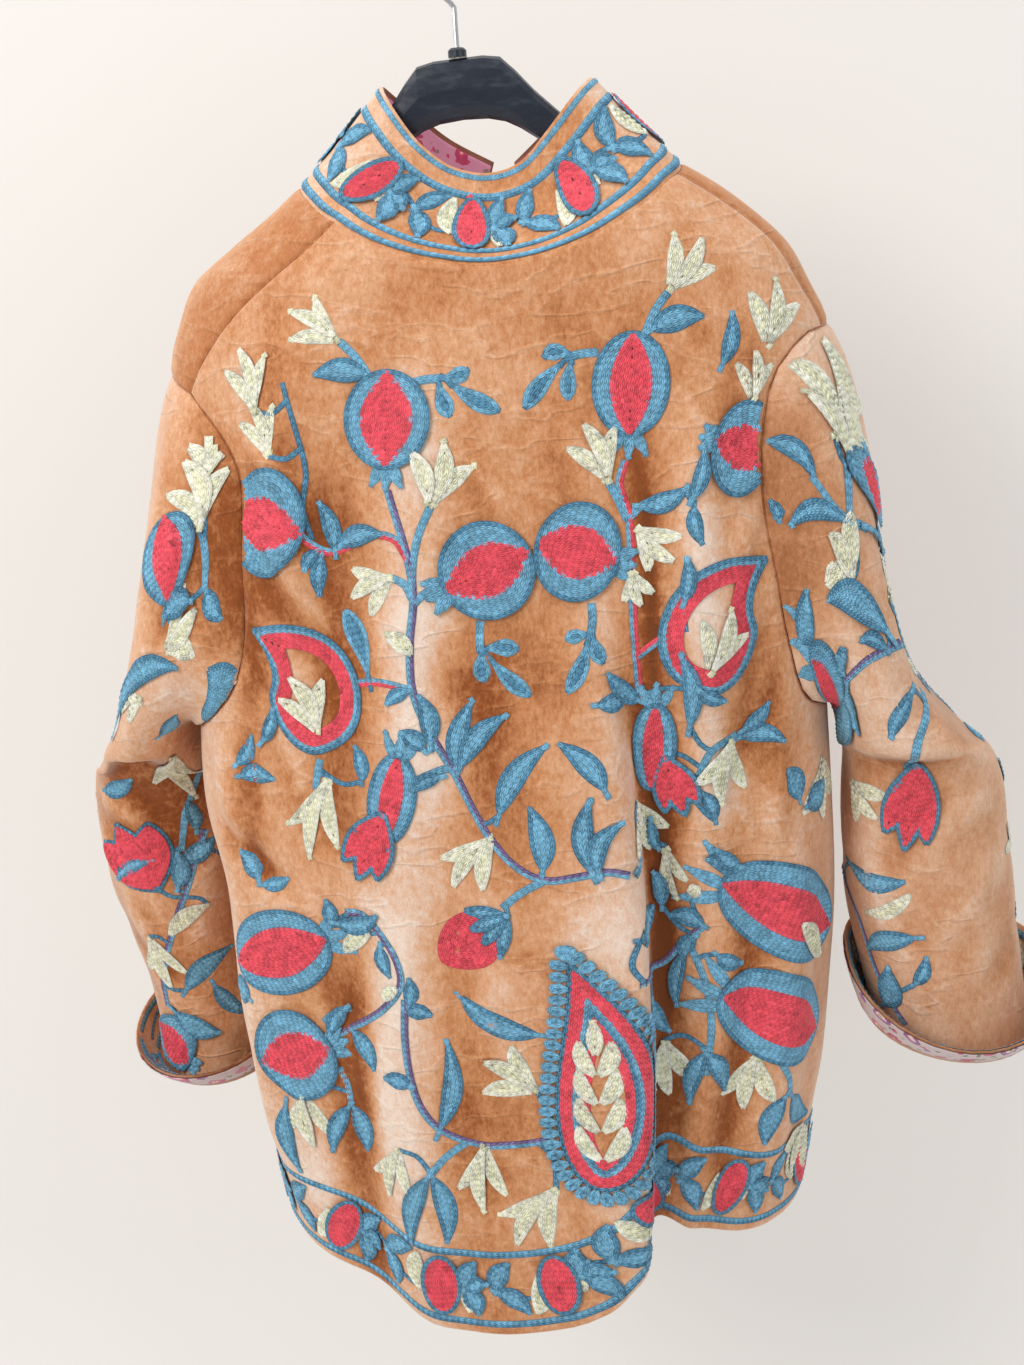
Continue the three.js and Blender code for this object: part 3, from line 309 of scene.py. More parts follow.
def deep_fold(q, z):
    depth = smooth((DEEP["start"] - z) / (DEEP["start"] - DEEP["full"]))
    line = DEEP["q0"] + (DEEP["q1"] - DEEP["q0"]) * (DEEP["start"] - z) / (DEEP["start"] - LOWEST)
    right = np.linalg.norm(body(q, z) - body(line, z), axis=-1) * np.sign(line - q)
    t = DEEP_PROFILE["right"]
    live = depth * ((right > t[0]) & (right < t[-1]))
    return [live * track(DEEP_PROFILE, "right", right, c) for c in ("out", "shift")]


def cloth(q, z):
    """The cloth's outer face: the body's surface with its folds, creases and a little unevenness."""
    q, z = np.broadcast_arrays(np.asarray(q, float), np.asarray(z, float))
    around, normal = body_frame(q, z)
    out, shift = deep_fold(q, z)
    out = out + fold_out(FOLDS, q, z)
    below = smooth((EVEN_ABOVE - z) / EVEN_FADE)
    out = out + fold_out(CREASES, q, z)
    out = out + below * (0.9 * noise(q * 9, z / 60, seed=5) + 0.35 * noise(q * 26, z / 22, seed=8))
    return body(q, z) + out[..., None] * normal - shift[..., None] * around


def along_seam(line, shares):
    fine = through([(q, z / 200) for q, z in line], 24)
    q, z = fine[:, 0], fine[:, 1] * 200
    run = run_along(body(q, z))
    at = np.asarray(shares) * run[-1]
    return np.stack([np.interp(at, run, q), np.interp(at, run, z)], -1)


def even(steps):
    return np.arange(steps + 1) / steps


def hem_z(q):
    return track(HEM, "q", q, "z")

# ------------------------------------------------------------------ panels, in q and z

FINE = 4                     # rows and columns here for each one of the solids
EDGE = np.array([0, 0.15, 0.35, 0.65])         # places of the close rows at an edge, in rows
NECK_STEPS = {"back": 26 * FINE, "front": 9 * FINE}
SHOULDER_STEPS, SIDE_STEPS, ARM_BACK_STEPS, ARM_LOWER_STEPS = 7 * FINE, 14 * FINE, 10 * FINE, 6 * FINE
BENT_STEPS = 9 * FINE        # rows over which a panel takes up the shape of its top or foot
HEAD_STEPS, RING_STEPS, COLLAR_STEPS = 7 * FINE, 6, 9 * FINE
WORDS = {1: "left", -1: "right"}               # the wearer's sides, by the sign of q and x
SIDES = tuple(WORDS)
SEAMS = {}
for s in SIDES:
    upper = even(NECK_STEPS["front"]) * MID_ARMHOLE
    lower = MID_ARMHOLE + (1 - MID_ARMHOLE) * even(ARM_LOWER_STEPS)[1:]
    SEAMS[s] = {
        "shoulder": along_seam(SHOULDER[s], even(SHOULDER_STEPS)),
        "arm_back": along_seam(ARM_BACK[s], even(ARM_BACK_STEPS)),
        "arm_front": along_seam(ARM_FRONT[s], np.concatenate([upper, lower])),
        "neck": along_seam(NECK_FRONT[s], even(NECK_STEPS["front"])),
        "side": np.stack([np.full(SIDE_STEPS + 1, s, float),
                          UNDERARM_Z + even(SIDE_STEPS) * (hem_z(s) - UNDERARM_Z)], -1),
    }


def panel(start, middle, end, first, last, columns, spread_even):
    """Spots of a panel: rows from one side through a middle line to the other, bent at top and foot."""
    rows = len(start)
    t = 2 * np.asarray(columns) - 1
    away = np.abs(t)
    side = np.where((t < 0)[None, :, None], start[:, None, :], end[:, None, :])
    spread = np.abs(side[..., 0] - middle[:, None, 0])
    crowd = 0 if spread_even else np.maximum(1 - spread, 0)
    q = middle[:, None, 0] + (side[..., 0] - middle[:, None, 0]) * away * (1 + crowd * (1 - away))
    z = middle[:, None, 1] + (side[..., 1] - middle[:, None, 1]) * away**3
    free = np.stack([q, z], -1)
    i = np.arange(rows)
    top = np.maximum(1 - i / BENT_STEPS, 0) ** 2
    foot = np.maximum(1 - (rows - 1 - i) / BENT_STEPS, 0) ** 2
    return free + top[:, None, None] * (first - free[0]) + foot[:, None, None] * (last - free[-1])


def spaced(steps):
    """Even shares with close ones at both ends, for the rounded edges."""
    return np.concatenate([EDGE, np.arange(1, steps), steps - EDGE[::-1]]) / steps


def back_spots():
    start = np.concatenate([SEAMS[-1]["shoulder"], SEAMS[-1]["arm_back"][1:], SEAMS[-1]["side"][1:]])
    end = np.concatenate([SEAMS[1]["shoulder"], SEAMS[1]["arm_back"][1:], SEAMS[1]["side"][1:]])
    knots = np.concatenate([-1 + even(6 * FINE) * 0.58, -0.42 + even(9 * FINE)[1:] * 0.3,
                            -0.12 + even(11 * FINE)[1:] * 1.12])
    index = np.concatenate([EDGE, np.arange(1, len(knots) - 1), len(knots) - 1 - EDGE[::-1]])
    knots = np.interp(index, np.arange(len(knots)), knots)
    share = (knots + 1) / 2
    at = even(len(start) - 1)
    level = (start[:, 1] + end[:, 1]) / 2 - track(BACK_DIP, "at", at, "dip")
    middle = np.stack([NECK_MIDDLE * (1 - at), level], -1)
    last = np.stack([knots, hem_z(knots)], -1)
    return panel(start, middle, end, along_seam(NECK_BACK, share), last, share, False)


def front_spots(s):
    seam = SEAMS[s]
    outer = np.concatenate([seam["arm_front"], seam["side"][1:]])
    count = ARM_LOWER_STEPS + SIDE_STEPS
    t = even(count)[1:]
    dip, under = UNDERARM_Z - EDGE_DIP, ARM_LOWER_STEPS / count
    neck_z = seam["neck"][-1, 1]
    z = np.where(t < under, neck_z + (dip - neck_z) * t / under,
                 dip + (hem_z(s * FRONT_EDGE) - dip) * (t - under) / (1 - under))
    inner = np.concatenate([seam["neck"], np.stack([np.full(count, s * FRONT_EDGE), z], -1)])
    i = np.arange(len(outer))
    level = MIDDLE_LEVEL[0] + (MIDDLE_LEVEL[1] - MIDDLE_LEVEL[0]) * smooth(
        i / (NECK_STEPS["front"] + ARM_LOWER_STEPS))
    middle = (outer + inner) / 2
    middle[:, 1] = outer[:, 1] + (inner[:, 1] - outer[:, 1]) * level
    columns = spaced(SHOULDER_STEPS)
    shoulder = along_seam(SHOULDER[s], 1 - columns)
    knots = s + (s * FRONT_EDGE - s) * columns
    last = np.stack([knots, hem_z(knots)], -1)
    return panel(outer, middle, inner, shoulder, last, columns, True)

# ------------------------------------------------------------------ sleeves, in rows and angles


def armhole_ring(s):
    back, front = SEAMS[s]["arm_back"], SEAMS[s]["arm_front"]
    step = 2
    ring = np.concatenate([back[::step], front[1:-1][::-1][step - 1::step]])
    places = cloth(ring[:, 0], ring[:, 1])
    _, normal = body_frame(ring[:, 0], ring[:, 1])
    along = np.roll(places, -1, 0) - np.roll(places, 1, 0)
    away = unit(np.cross(along, normal)) * s
    under = len(back[::step]) - 1
    away[under] = (0, 0, 1)
    n = len(ring)
    top = int(places[:, 2].argmax())
    hop = np.linalg.norm(np.roll(places, -1, 0) - places, axis=1)
    back_steps = (under - top) % n
    order = (top + np.arange(n)) % n
    run = np.concatenate([[0], np.cumsum(hop[order])])
    half = run[back_steps]
    k = np.arange(n)
    angle = np.where(k <= back_steps, np.pi * run[:-1] / half,
                     np.pi + np.pi * (run[:-1] - half) / (run[-1] - half))
    angles = np.empty(n)
    angles[order] = angle
    if s < 0:
        places, normal, away, angles = places[::-1], normal[::-1], away[::-1], angles[::-1]
    return places, normal, away, angles


def ring_point(s, row, angle):
    turned = angle + np.radians(row["turn"]) * np.cos(angle)
    back = ((1 + np.sin(turned)) / 2) ** row["hang"]
    x = row["x"] + s * row["across"] * np.cos(turned)
    z = row["front"] + (row["back"] - row["front"]) * back + row["lift"] * (1 - np.cos(angle)) / 2
    return np.stack([x, row["y"] + row["deep"] * np.sin(turned), z], -1)


def sleeve_grid(s):
    """Rows from the armhole to the end, by angle."""
    places, normal, away, angles = armhole_ring(s)
    t = SLEEVE[s]
    rows = [{c: t[c][i] for c in t} for i in range(len(t["x"]))]
    low = smooth(1 - np.abs(angles - np.pi) / (np.pi * UNDER_SPAN))
    lift = np.radians(HEAD_LIFT + (90 - HEAD_LIFT) * low)[:, None]
    out = away * np.cos(lift) + normal * np.sin(lift)
    start = places + out * 0.3
    to, following = ring_point(s, rows[0], angles), ring_point(s, rows[1], angles)
    reach = np.linalg.norm(to - start, axis=1, keepdims=True)
    end = unit(following - to) * reach * HEAD_PULL[1]
    begin = out * reach * HEAD_PULL[0]
    grid = []
    for k in np.concatenate([EDGE, np.arange(1, HEAD_STEPS)]) / HEAD_STEPS:
        grid.append(start * (2 * k**3 - 3 * k**2 + 1) + begin * (k**3 - 2 * k**2 + k)
                    + to * (3 * k**2 - 2 * k**3) + end * (k**3 - k**2))
    rings = through([ring_point(s, row, angles) for row in rows], RING_STEPS)
    return creased(np.concatenate([np.array(grid), rings]), angles), angles


def creased(grid, angles):
    """The sleeve's grid with its creases and a little unevenness, none at the armhole seam or the end."""
    z, degrees = grid[..., 2], np.degrees(np.where(angles > np.pi, angles - 2 * np.pi, angles))
    radius = np.linalg.norm(grid[..., :2] - grid[..., :2].mean(1, keepdims=True), axis=-1)
    total = 1.1 * noise(np.cos(angles) * 3 + 0 * z, np.sin(angles) * 3 + z / 40, z / 50, seed=14)
    for f in SLEEVE_CREASES:
        run = (f["a1"] - f["a0"]) * 0.85
        a, b = np.stack([0 * z, f["z0"] + 0 * z], -1), np.array([run, f["z1"] - f["z0"]])
        here = np.stack([(degrees - f["a0"]) * radius * np.pi / 180, z], -1) - a
        share = np.clip((here @ b) / (b @ b), 0, 1)
        away = np.linalg.norm(here - share[..., None] * b, axis=-1) / f["wide"]
        ends = smooth(share * 4) * smooth((1 - share) * 4) + 0.15
        total += f["out"] * ends * np.exp(-away * away)
    row = np.arange(len(grid))[:, None]
    calm = smooth((row - 6) / 16) * smooth((len(grid) - 4 - row) / 10)
    return grid + grid_normals(grid, True) * (total * calm)[..., None]


def turn_back(s, angles):
    t = SLEEVE[s]
    end = {c: t[c][-1] for c in t}
    degrees = np.degrees(np.where(angles > np.pi, angles - 2 * np.pi, angles))
    rise, flare = (track(TURN_BACK[s], "angle", degrees, c) for c in ("rise", "flare"))
    direction = np.stack([s * np.cos(angles), np.sin(angles), 0 * angles], -1)
    base = ring_point(s, end, angles)
    up = np.array([0, 0, 1.0])
    r = TURN_GAP
    rows = []
    for k in np.radians(30 * np.arange(1, CUFF_TURN_ROWS + 1)):
        outward, drop = r * (1 - np.cos(k)), -1.6 * r * np.sin(k)
        rows.append(base + direction * outward + up * drop)
    for k in np.linspace(0.08, 1, 13):
        swell = np.sin(k * np.pi / 2)
        outward = 2 * r + flare * (k + (swell - k) * 0.4)
        rows.append(base + direction * outward[:, None] + up * (rise * k)[:, None])
    return np.array(rows)

# ------------------------------------------------------------------ collar


def collar_ring():
    middle = along_seam(NECK_BACK, even(NECK_STEPS["back"]))[1:-1]
    return np.concatenate([SEAMS[-1]["neck"][::-1], middle, SEAMS[1]["neck"]])


def collar_grid(shares):
    ring = collar_ring()
    foot = cloth(ring[:, 0], ring[:, 1]) + (0, 0, 0.3)
    rim = np.stack([track(COLLAR, "q", ring[:, 0], c) for c in "xyz"], -1)
    bow = track(COLLAR, "q", ring[:, 0], "bow")[:, None]
    outward = unit(np.cross(rim - foot, np.gradient(rim, axis=0)))
    t = np.asarray(shares)[:, None, None]
    return foot + (rim - foot) * t + outward * bow * np.sin(np.pi * t)

# ------------------------------------------------------------------ flat coordinates on a surface


def grid_normals(p, closed=False):
    down = np.gradient(p, axis=0)
    if closed:
        along = (np.roll(p, -1, 1) - np.roll(p, 1, 1)) / 2
    else:
        along = np.gradient(p, axis=1)
    return unit(np.cross(down, along))


class Skin:
    """A surface by flat coordinates in mm: u to the right and v up, as seen from outside."""

    def __init__(self, points, u0, du, v0, dv):
        self.p, self.u0, self.du, self.v0, self.dv = points, u0, du, v0, dv
        self.n = -grid_normals(points)

    def at(self, u, v):
        rows, columns = self.p.shape[:2]
        j = np.clip((np.asarray(u) - self.u0) / self.du, 0, columns - 1.001)
        i = np.clip((np.asarray(v) - self.v0) / self.dv, 0, rows - 1.001)
        i0, j0 = i.astype(int), j.astype(int)
        fi, fj = (i - i0)[..., None], (j - j0)[..., None]

        def blend(g):
            return ((g[i0, j0] * (1 - fj) + g[i0, j0 + 1] * fj) * (1 - fi)
                    + (g[i0 + 1, j0] * (1 - fj) + g[i0 + 1, j0 + 1] * fj) * fi)

        return blend(self.p), unit(blend(self.n))


def resample_rows(points, run, at):
    """points[i, j] at places run[i, j] along each row, read at the places at[k]."""
    return np.stack([[np.interp(at, run[i], points[i, :, c]) for c in range(3)]
                     for i in range(len(points))]).transpose(0, 2, 1)


def resample_down(points, run, at):
    return np.stack([[np.interp(at, run, points[:, j, c]) for c in range(3)]
                     for j in range(points.shape[1])]).transpose(2, 0, 1)


def body_skin():
    z = np.arange(-950, -139.9, 2.5)
    q = np.linspace(-2, 2, 401)
    u = np.arange(-600, 600.1, 3)
    spots = np.empty((len(z), len(u)))
    for i, level in enumerate(z):
        p = body(q, level)
        run = run_along(p)
        run -= np.interp(0, q, run)
        spots[i] = np.interp(-u, run, q)
    return Skin(cloth(spots, z[:, None] + 0 * spots), u[0], 3, z[0], 2.5)


def sleeve_skin(s, grid, angles):
    """u is 0 along the back of the sleeve, and v is minus the length from the armhole."""
    front = int(np.abs(angles - 1.5 * np.pi).argmin())
    ring = np.roll(grid, -front, 1)
    turned = np.roll(angles, -front)
    ring = np.concatenate([ring, ring[:, :1]], 1)
    hop = np.linalg.norm(np.diff(ring, axis=1), axis=2)
    run = np.concatenate([np.zeros((len(ring), 1)), np.cumsum(hop, 1)], 1)
    back = int(np.abs(turned - np.pi / 2).argmin())
    run -= run[:, back:back + 1]
    rising = turned[1] > turned[0] or turned[2] > turned[1]
    if (s > 0) != rising:
        ring, run = ring[:, ::-1], -run[:, ::-1]
    u = np.arange(-240, 240.1, 3)
    flat = resample_rows(ring, run, u)
    spine = ring[:, back if (s > 0) == rising else -1 - back]
    down = run_along(spine)
    v = np.arange(-math.floor(down[-1] / 3) * 3, 0.1, 3)
    skin = Skin(resample_down(flat, down, -v), u[0], 3, v[0], 3)
    skin.half = np.interp(-v, down, np.minimum(-run[:, 0], run[:, -1]))
    return skin


def strip_skin(grid, flip):
    """A strip whose rows run up from its foot: u along its middle, 0 half way, and v up from the foot."""
    middle = grid[len(grid) // 2]
    run = run_along(middle)
    run -= run[-1] / 2
    up = run_along(grid)
    if flip:
        grid, run = grid[:, ::-1], -run[::-1]
    u = np.arange(math.ceil(run[0] / 2) * 2, run[-1], 2)
    v = np.arange(0, up[-1], 1.5)
    flat = resample_rows(grid, np.broadcast_to(run, grid.shape[:2]), u)
    return Skin(resample_down(flat, up, v), u[0], 2, 0, 1.5)

# ------------------------------------------------------------------ shells in Blender

THICK = 1.9                  # mm of velvet with its lining
WALL = 2.0                   # the velvet wall of the solids
SEAM_SINK, SEAM_WIDTH = 1.2, 5.0
LINING_GAP, LINING_THICK, LINING_INSET, LINING_SINK = 0.6, 0.8, 3, 0.3
SLEEVE_LINED = 0.86          # share of a sleeve's inside that is lining; the rest is the turned cuff's velvet


def facing_out(grid):
    """The grid, turned where needed so that its normals point away from the body's middle."""
    centre = grid * (0, 0, 1) + (-10, 0, 0)
    lean = np.sum(grid_normals(grid) * (grid - centre), -1).mean()
    return grid if lean > 0 else grid[:, ::-1]


def with_close_rows(grid, ends=(True, True)):
    """The grid with more rows close to its ends, for the rounded edges."""
    rows = len(grid)
    at = np.arange(rows, dtype=float)
    if ends[0]:
        at = np.concatenate([at, EDGE[1:]])
    if ends[1]:
        at = np.concatenate([at, rows - 1 - EDGE[1:]])
    at = np.sort(at)
    low = np.minimum(at.astype(int), rows - 2)
    part = (at - low)[:, None, None]
    return grid[low] * (1 - part) + grid[low + 1] * part


def from_edges(grid, closed):
    """Distance of each point from the nearest open edge, in mm."""
    def both(hop, axis):
        run = np.cumsum(hop, axis)
        start = np.concatenate([np.take(run, [0], axis) * 0, run], axis)
        return np.minimum(start, np.take(start, [-1], axis) - start)

    away = both(np.linalg.norm(np.diff(grid, axis=0), axis=-1), 0)
    return away if closed else np.minimum(away, both(np.linalg.norm(np.diff(grid, axis=1), axis=-1), 1))


def blurred(grid, passes, closed):
    for _ in range(passes):
        p = np.pad(grid, ((1, 1), (0, 0), (0, 0)), mode="reflect", reflect_type="odd")
        grid = (p[:-2] + 2 * p[1:-1] + p[2:]) / 4
        if closed:
            grid = (np.roll(grid, 1, 1) + 2 * grid + np.roll(grid, -1, 1)) / 4
        else:
            p = np.pad(grid, ((0, 0), (1, 1), (0, 0)), mode="reflect", reflect_type="odd")
            grid = (p[:, :-2] + 2 * p[:, 1:-1] + p[:, 2:]) / 4
    return grid


def relief(grid, closed):
    """How far each point stands out of its surroundings, in mm: what the velvet's painted light and shade
    follow, pale on ridges and dark in hollows.
    """
    n = grid_normals(grid, closed)
    fine = np.sum((grid - blurred(grid, 14, closed)) * n, -1)
    broad = np.sum((grid - blurred(grid, 90, closed)) * n, -1)
    height = 0.9 * fine + 0.35 * broad
    return height - height.mean(1, keepdims=True) if closed else height


def mesh_object(name, points, faces, materials, which=None, floats=None):
    mesh = bpy.data.meshes.new(name)
    points, faces = np.asarray(points, float) / 1000, np.asarray(faces)
    mesh.vertices.add(len(points))
    mesh.vertices.foreach_set("co", points.ravel())
    corners = faces.shape[1]
    mesh.loops.add(faces.size)
    mesh.loops.foreach_set("vertex_index", faces.ravel())
    mesh.polygons.add(len(faces))
    mesh.polygons.foreach_set("loop_start", np.arange(len(faces)) * corners)
    for m in materials:
        mesh.materials.append(m)
    if which is not None:
        mesh.polygons.foreach_set("material_index", which)
    mesh.polygons.foreach_set("use_smooth", np.full(len(faces), True))
    for key, values in (floats or {}).items():
        kind = "FLOAT_VECTOR" if np.ndim(values) == 2 else "FLOAT"
        made = mesh.attributes.new(key, kind, "POINT")
        made.data.foreach_set("vector" if kind == "FLOAT_VECTOR" else "value", np.ravel(values))
    mesh.update(calc_edges=True)
    mesh.validate()
    made = bpy.data.objects.new(name, mesh)
    bpy.context.scene.collection.objects.link(made)
    return made


def shell(name, grid, closed, materials, thickness=THICK, sink=SEAM_SINK, streak_shading=None, lined=1.0):
    """A thin closed wall whose outer face is the grid. The second material is on that share of its inside."""
    n = grid_normals(grid, closed)
    edge = np.clip(1 - from_edges(grid, closed) / SEAM_WIDTH, 0, 1) ** 2
    outer = grid - n * (sink * edge)[..., None]
    inner = grid - n * np.maximum(thickness, (sink * edge + 0.6))[..., None]
    rows, columns = grid.shape[:2]
    index = np.arange(rows * columns).reshape(rows, columns)
    across = np.concatenate([index, index[:, :1]], 1) if closed else index
    a, b, c, d = across[:-1, :-1], across[:-1, 1:], across[1:, 1:], across[1:, :-1]
    front = np.stack([a, d, c, b], -1).reshape(-1, 4)
    back = front[:, ::-1] + rows * columns
    loops = [across[0], across[-1][::-1]]
    if not closed:
        loops += [index[:, 0][::-1], index[:, -1]]
    rims = [np.stack([e[:-1], e[1:], e[1:] + rows * columns, e[:-1] + rows * columns], -1) for e in loops]
    rims = np.concatenate(rims)
    which = np.zeros(len(front) + len(rims) + len(back), int)
    which[len(front) + len(rims):][:int(len(back) * lined)] = 1
    # The velvet's painted light and shade: pale on ridges and dark in hollows by the relief, and the painted
    # streaks.
    height = relief(grid, closed).ravel()
    shade = np.zeros(rows * columns) if streak_shading is None else streak_shading.ravel()
    floats = {"relief_shading": np.tile(height, 2), "streak_shading": np.tile(shade, 2)}
    return mesh_object(name, np.concatenate([outer.reshape(-1, 3), inner.reshape(-1, 3)]),
                       np.concatenate([front, rims, back]), materials, which, floats)

# ------------------------------------------------------------------ materials


class Nodes:
    """A material's node tree, built by short calls that give back output sockets."""

    def __init__(self, name):
        self.m = bpy.data.materials.new(name)
        self.m.use_nodes = True
        self.tree = self.m.node_tree
        self.shader = next(n for n in self.tree.nodes if n.type == "BSDF_PRINCIPLED")
        self.place = self.new("ShaderNodeTexCoord").outputs["Object"]

    def new(self, kind, **settings):
        made = self.tree.nodes.new(kind)
        for key, value in settings.items():
            setattr(made, key, value)
        return made

    def put(self, socket, value):
        if isinstance(value, bpy.types.NodeSocket):
            self.tree.links.new(value, socket)
        else:
            socket.default_value = value

    def set(self, **values):
        for key, value in values.items():
            self.put(self.shader.inputs[key.replace("_", " ")], value)

    def maths(self, what, a, b=0.0):
        made = self.new("ShaderNodeMath", operation=what)
        self.put(made.inputs[0], a)
        self.put(made.inputs[1], b)
        return made.outputs[0]

    def noise(self, scale, detail=3.0, rough=0.55, stretch=(1, 1, 1), turn=(0, 0, 0)):
        place = self.new("ShaderNodeMapping")
        self.put(place.inputs["Vector"], self.place)
        place.inputs["Scale"].default_value = stretch
        place.inputs["Rotation"].default_value = turn
        made = self.new("ShaderNodeTexNoise")
        self.put(made.inputs["Vector"], place.outputs[0])
        self.put(made.inputs["Scale"], scale)
        self.put(made.inputs["Detail"], detail)
        self.put(made.inputs["Roughness"], rough)
        return made.outputs["Fac"]

    def cells(self, scale, wobble=0.0):
        made = self.new("ShaderNodeTexVoronoi")
        where = self.place
        if wobble:
            add = self.new("ShaderNodeTexNoise")
            self.put(add.inputs["Vector"], self.place)
            self.put(add.inputs["Scale"], scale * 1.1)
            mix = self.new("ShaderNodeVectorMath", operation="MULTIPLY_ADD")
            self.put(mix.inputs[0], add.outputs["Color"])
            mix.inputs[1].default_value = (wobble,) * 3
            self.put(mix.inputs[2], self.place)
            where = mix.outputs[0]
        self.put(made.inputs["Vector"], where)
        self.put(made.inputs["Scale"], scale)
        return made.outputs["Distance"], made.outputs["Color"]

    def channel(self, colour, index):
        made = self.new("ShaderNodeSeparateColor")
        self.put(made.inputs[0], colour)
        return made.outputs[index]

    def ramp(self, fac, stops, step=False):
        made = self.new("ShaderNodeValToRGB")
        band = made.color_ramp
        band.interpolation = "CONSTANT" if step else "LINEAR"
        while len(band.elements) < len(stops):
            band.elements.new(0.5)
        for e, (at, colour) in zip(band.elements, stops):
            e.position = at
            e.color = (*colour, 1)
        self.put(made.inputs["Fac"], fac)
        return made.outputs["Color"]

    def span(self, value, low, high, to_low=0.0, to_high=1.0):
        made = self.new("ShaderNodeMapRange")
        self.put(made.inputs["Value"], value)
        for key, v in zip(("From Min", "From Max", "To Min", "To Max"), (low, high, to_low, to_high)):
            self.put(made.inputs[key], v)
        return made.outputs["Result"]

    def mix(self, fac, a, b, how="MIX"):
        made = self.new("ShaderNodeMix", data_type="RGBA", blend_type=how)
        self.put(made.inputs["Factor"], fac)
        self.put(made.inputs[6], a if isinstance(a, bpy.types.NodeSocket) else (*a, 1))
        self.put(made.inputs[7], b if isinstance(b, bpy.types.NodeSocket) else (*b, 1))
        return made.outputs[2]

    def read(self, name, output="Fac"):
        made = self.new("ShaderNodeAttribute", attribute_type="GEOMETRY", attribute_name=name)
        return made.outputs[output]

    def shaded(self, colour, shade):
        """The colour times a grey."""
        grey = self.new("ShaderNodeCombineColor")
        for socket in grey.inputs:
            self.put(socket, shade)
        return self.mix(1.0, colour, grey.outputs[0], "MULTIPLY")

    def bump(self, height, distance, strength=1.0, under=None):
        made = self.new("ShaderNodeBump")
        self.put(made.inputs["Height"], height)
        self.put(made.inputs["Distance"], distance)
        self.put(made.inputs["Strength"], strength)
        if under is not None:
            self.put(made.inputs["Normal"], under)
        return made.outputs["Normal"]

    def facing(self, blend=0.4):
        made = self.new("ShaderNodeLayerWeight")
        made.inputs["Blend"].default_value = blend
        return made.outputs["Facing"]


def rgb(r, g, b):
    """sRGB 0-255 to linear."""
    c = np.array([r, g, b]) / 255
    return tuple(float(v) for v in np.where(c <= 0.04045, c / 12.92, ((c + 0.055) / 1.055) ** 2.4))


# How far the velvet's colour lies towards pale: on its own, for the painted light and shade of the folds
# (pale on ridges, dark in hollows) and of the streaks, for fine lines, and for each texture.
LAY, LAY_OF_FOLDS, LAY_OF_STREAKS, LAY_OF_LINES = 0.42, 0.55, 1.25, 0.09
LAY_OF_TEXTURES = {"broad": 0.32, "drape": 0.42, "brushed": 0.5, "crushed": 0.45, "grain": 0.55}


def velvet(name, deep, mid, light, pale, sheen):
    m = Nodes(name)
    height = m.read("relief_shading")
    streak_shading = m.read("streak_shading")
    broad = m.noise(10, 3, 0.6, (1, 1, 0.35), (0, 0.2, 0))
    wrinkled = m.noise(13, 3, 0.45, (1, 1, 2.6), (0, 0.6, 0))
    drape = m.noise(19, 2, 0.45, (1, 1, 0.6), (0, 0.55, 0))
    lines = m.span(m.maths("ABSOLUTE", m.maths("SUBTRACT", wrinkled, 0.5)), 0.0, 0.03, 1, 0)
    brushed = m.noise(46, 4, 0.62, (1, 1, 0.5), (0, 0.35, 0.2))
    crushed = m.noise(150, 4, 0.65)
    grain = m.noise(420, 3, 0.7, (1, 1, 0.5), (0, 0.7, 0.3))
    pile = m.noise(1500, 2, 0.6)
    # Painted light and shade of the folds: ridges lie pale and hollows dark, by the relief.
    bounded = m.maths("DIVIDE", height, m.maths("ADD", m.maths("ABSOLUTE", height), 5.0))
    lay = m.maths("ADD", m.maths("MULTIPLY", bounded, LAY_OF_FOLDS), LAY)
    for texture, weight in zip((broad, drape, brushed, crushed, grain), LAY_OF_TEXTURES.values()):
        lay = m.maths("ADD", lay, m.maths("MULTIPLY", m.maths("SUBTRACT", texture, 0.5), weight))
    # Painted highlights and shade along the folds, from the streaks.
    lay = m.maths("ADD", lay, m.maths("MULTIPLY", streak_shading, LAY_OF_STREAKS))
    lay = m.maths("ADD", lay, m.maths("MULTIPLY", lines, LAY_OF_LINES))
    lay = m.span(lay, -0.25, 1.25)
    darkest = tuple(0.62 * c for c in deep)
    colour = m.ramp(lay, [(0.04, darkest), (0.22, deep), (0.43, mid), (0.59, light), (0.86, pale)])
    # Painted sheen: the colour goes pale where the surface turns away from the view.
    rim = m.span(m.facing(0.35), 0.35, 0.95, 0, 0.55)
    colour = m.mix(rim, colour, pale)
    colour = m.shaded(colour, m.span(pile, 0.3, 0.7, 0.86, 1.1))
    m.set(Base_Color=colour, Roughness=m.span(brushed, 0.3, 0.7, 0.72, 0.9), Sheen_Weight=sheen,
          Sheen_Roughness=0.38, Sheen_Tint=(*pale, 1), Specular_IOR_Level=0.18)
    soft = m.bump(brushed, 0.0016, 0.35, m.bump(drape, 0.008, 0.5))
    soft = m.bump(lines, 0.001, 0.6, soft)
    soft = m.bump(grain, 0.0003, 0.5, m.bump(crushed, 0.0005, 0.45, soft))
    m.set(Normal=m.bump(pile, 0.0002, 0.5, soft))
    return m.m


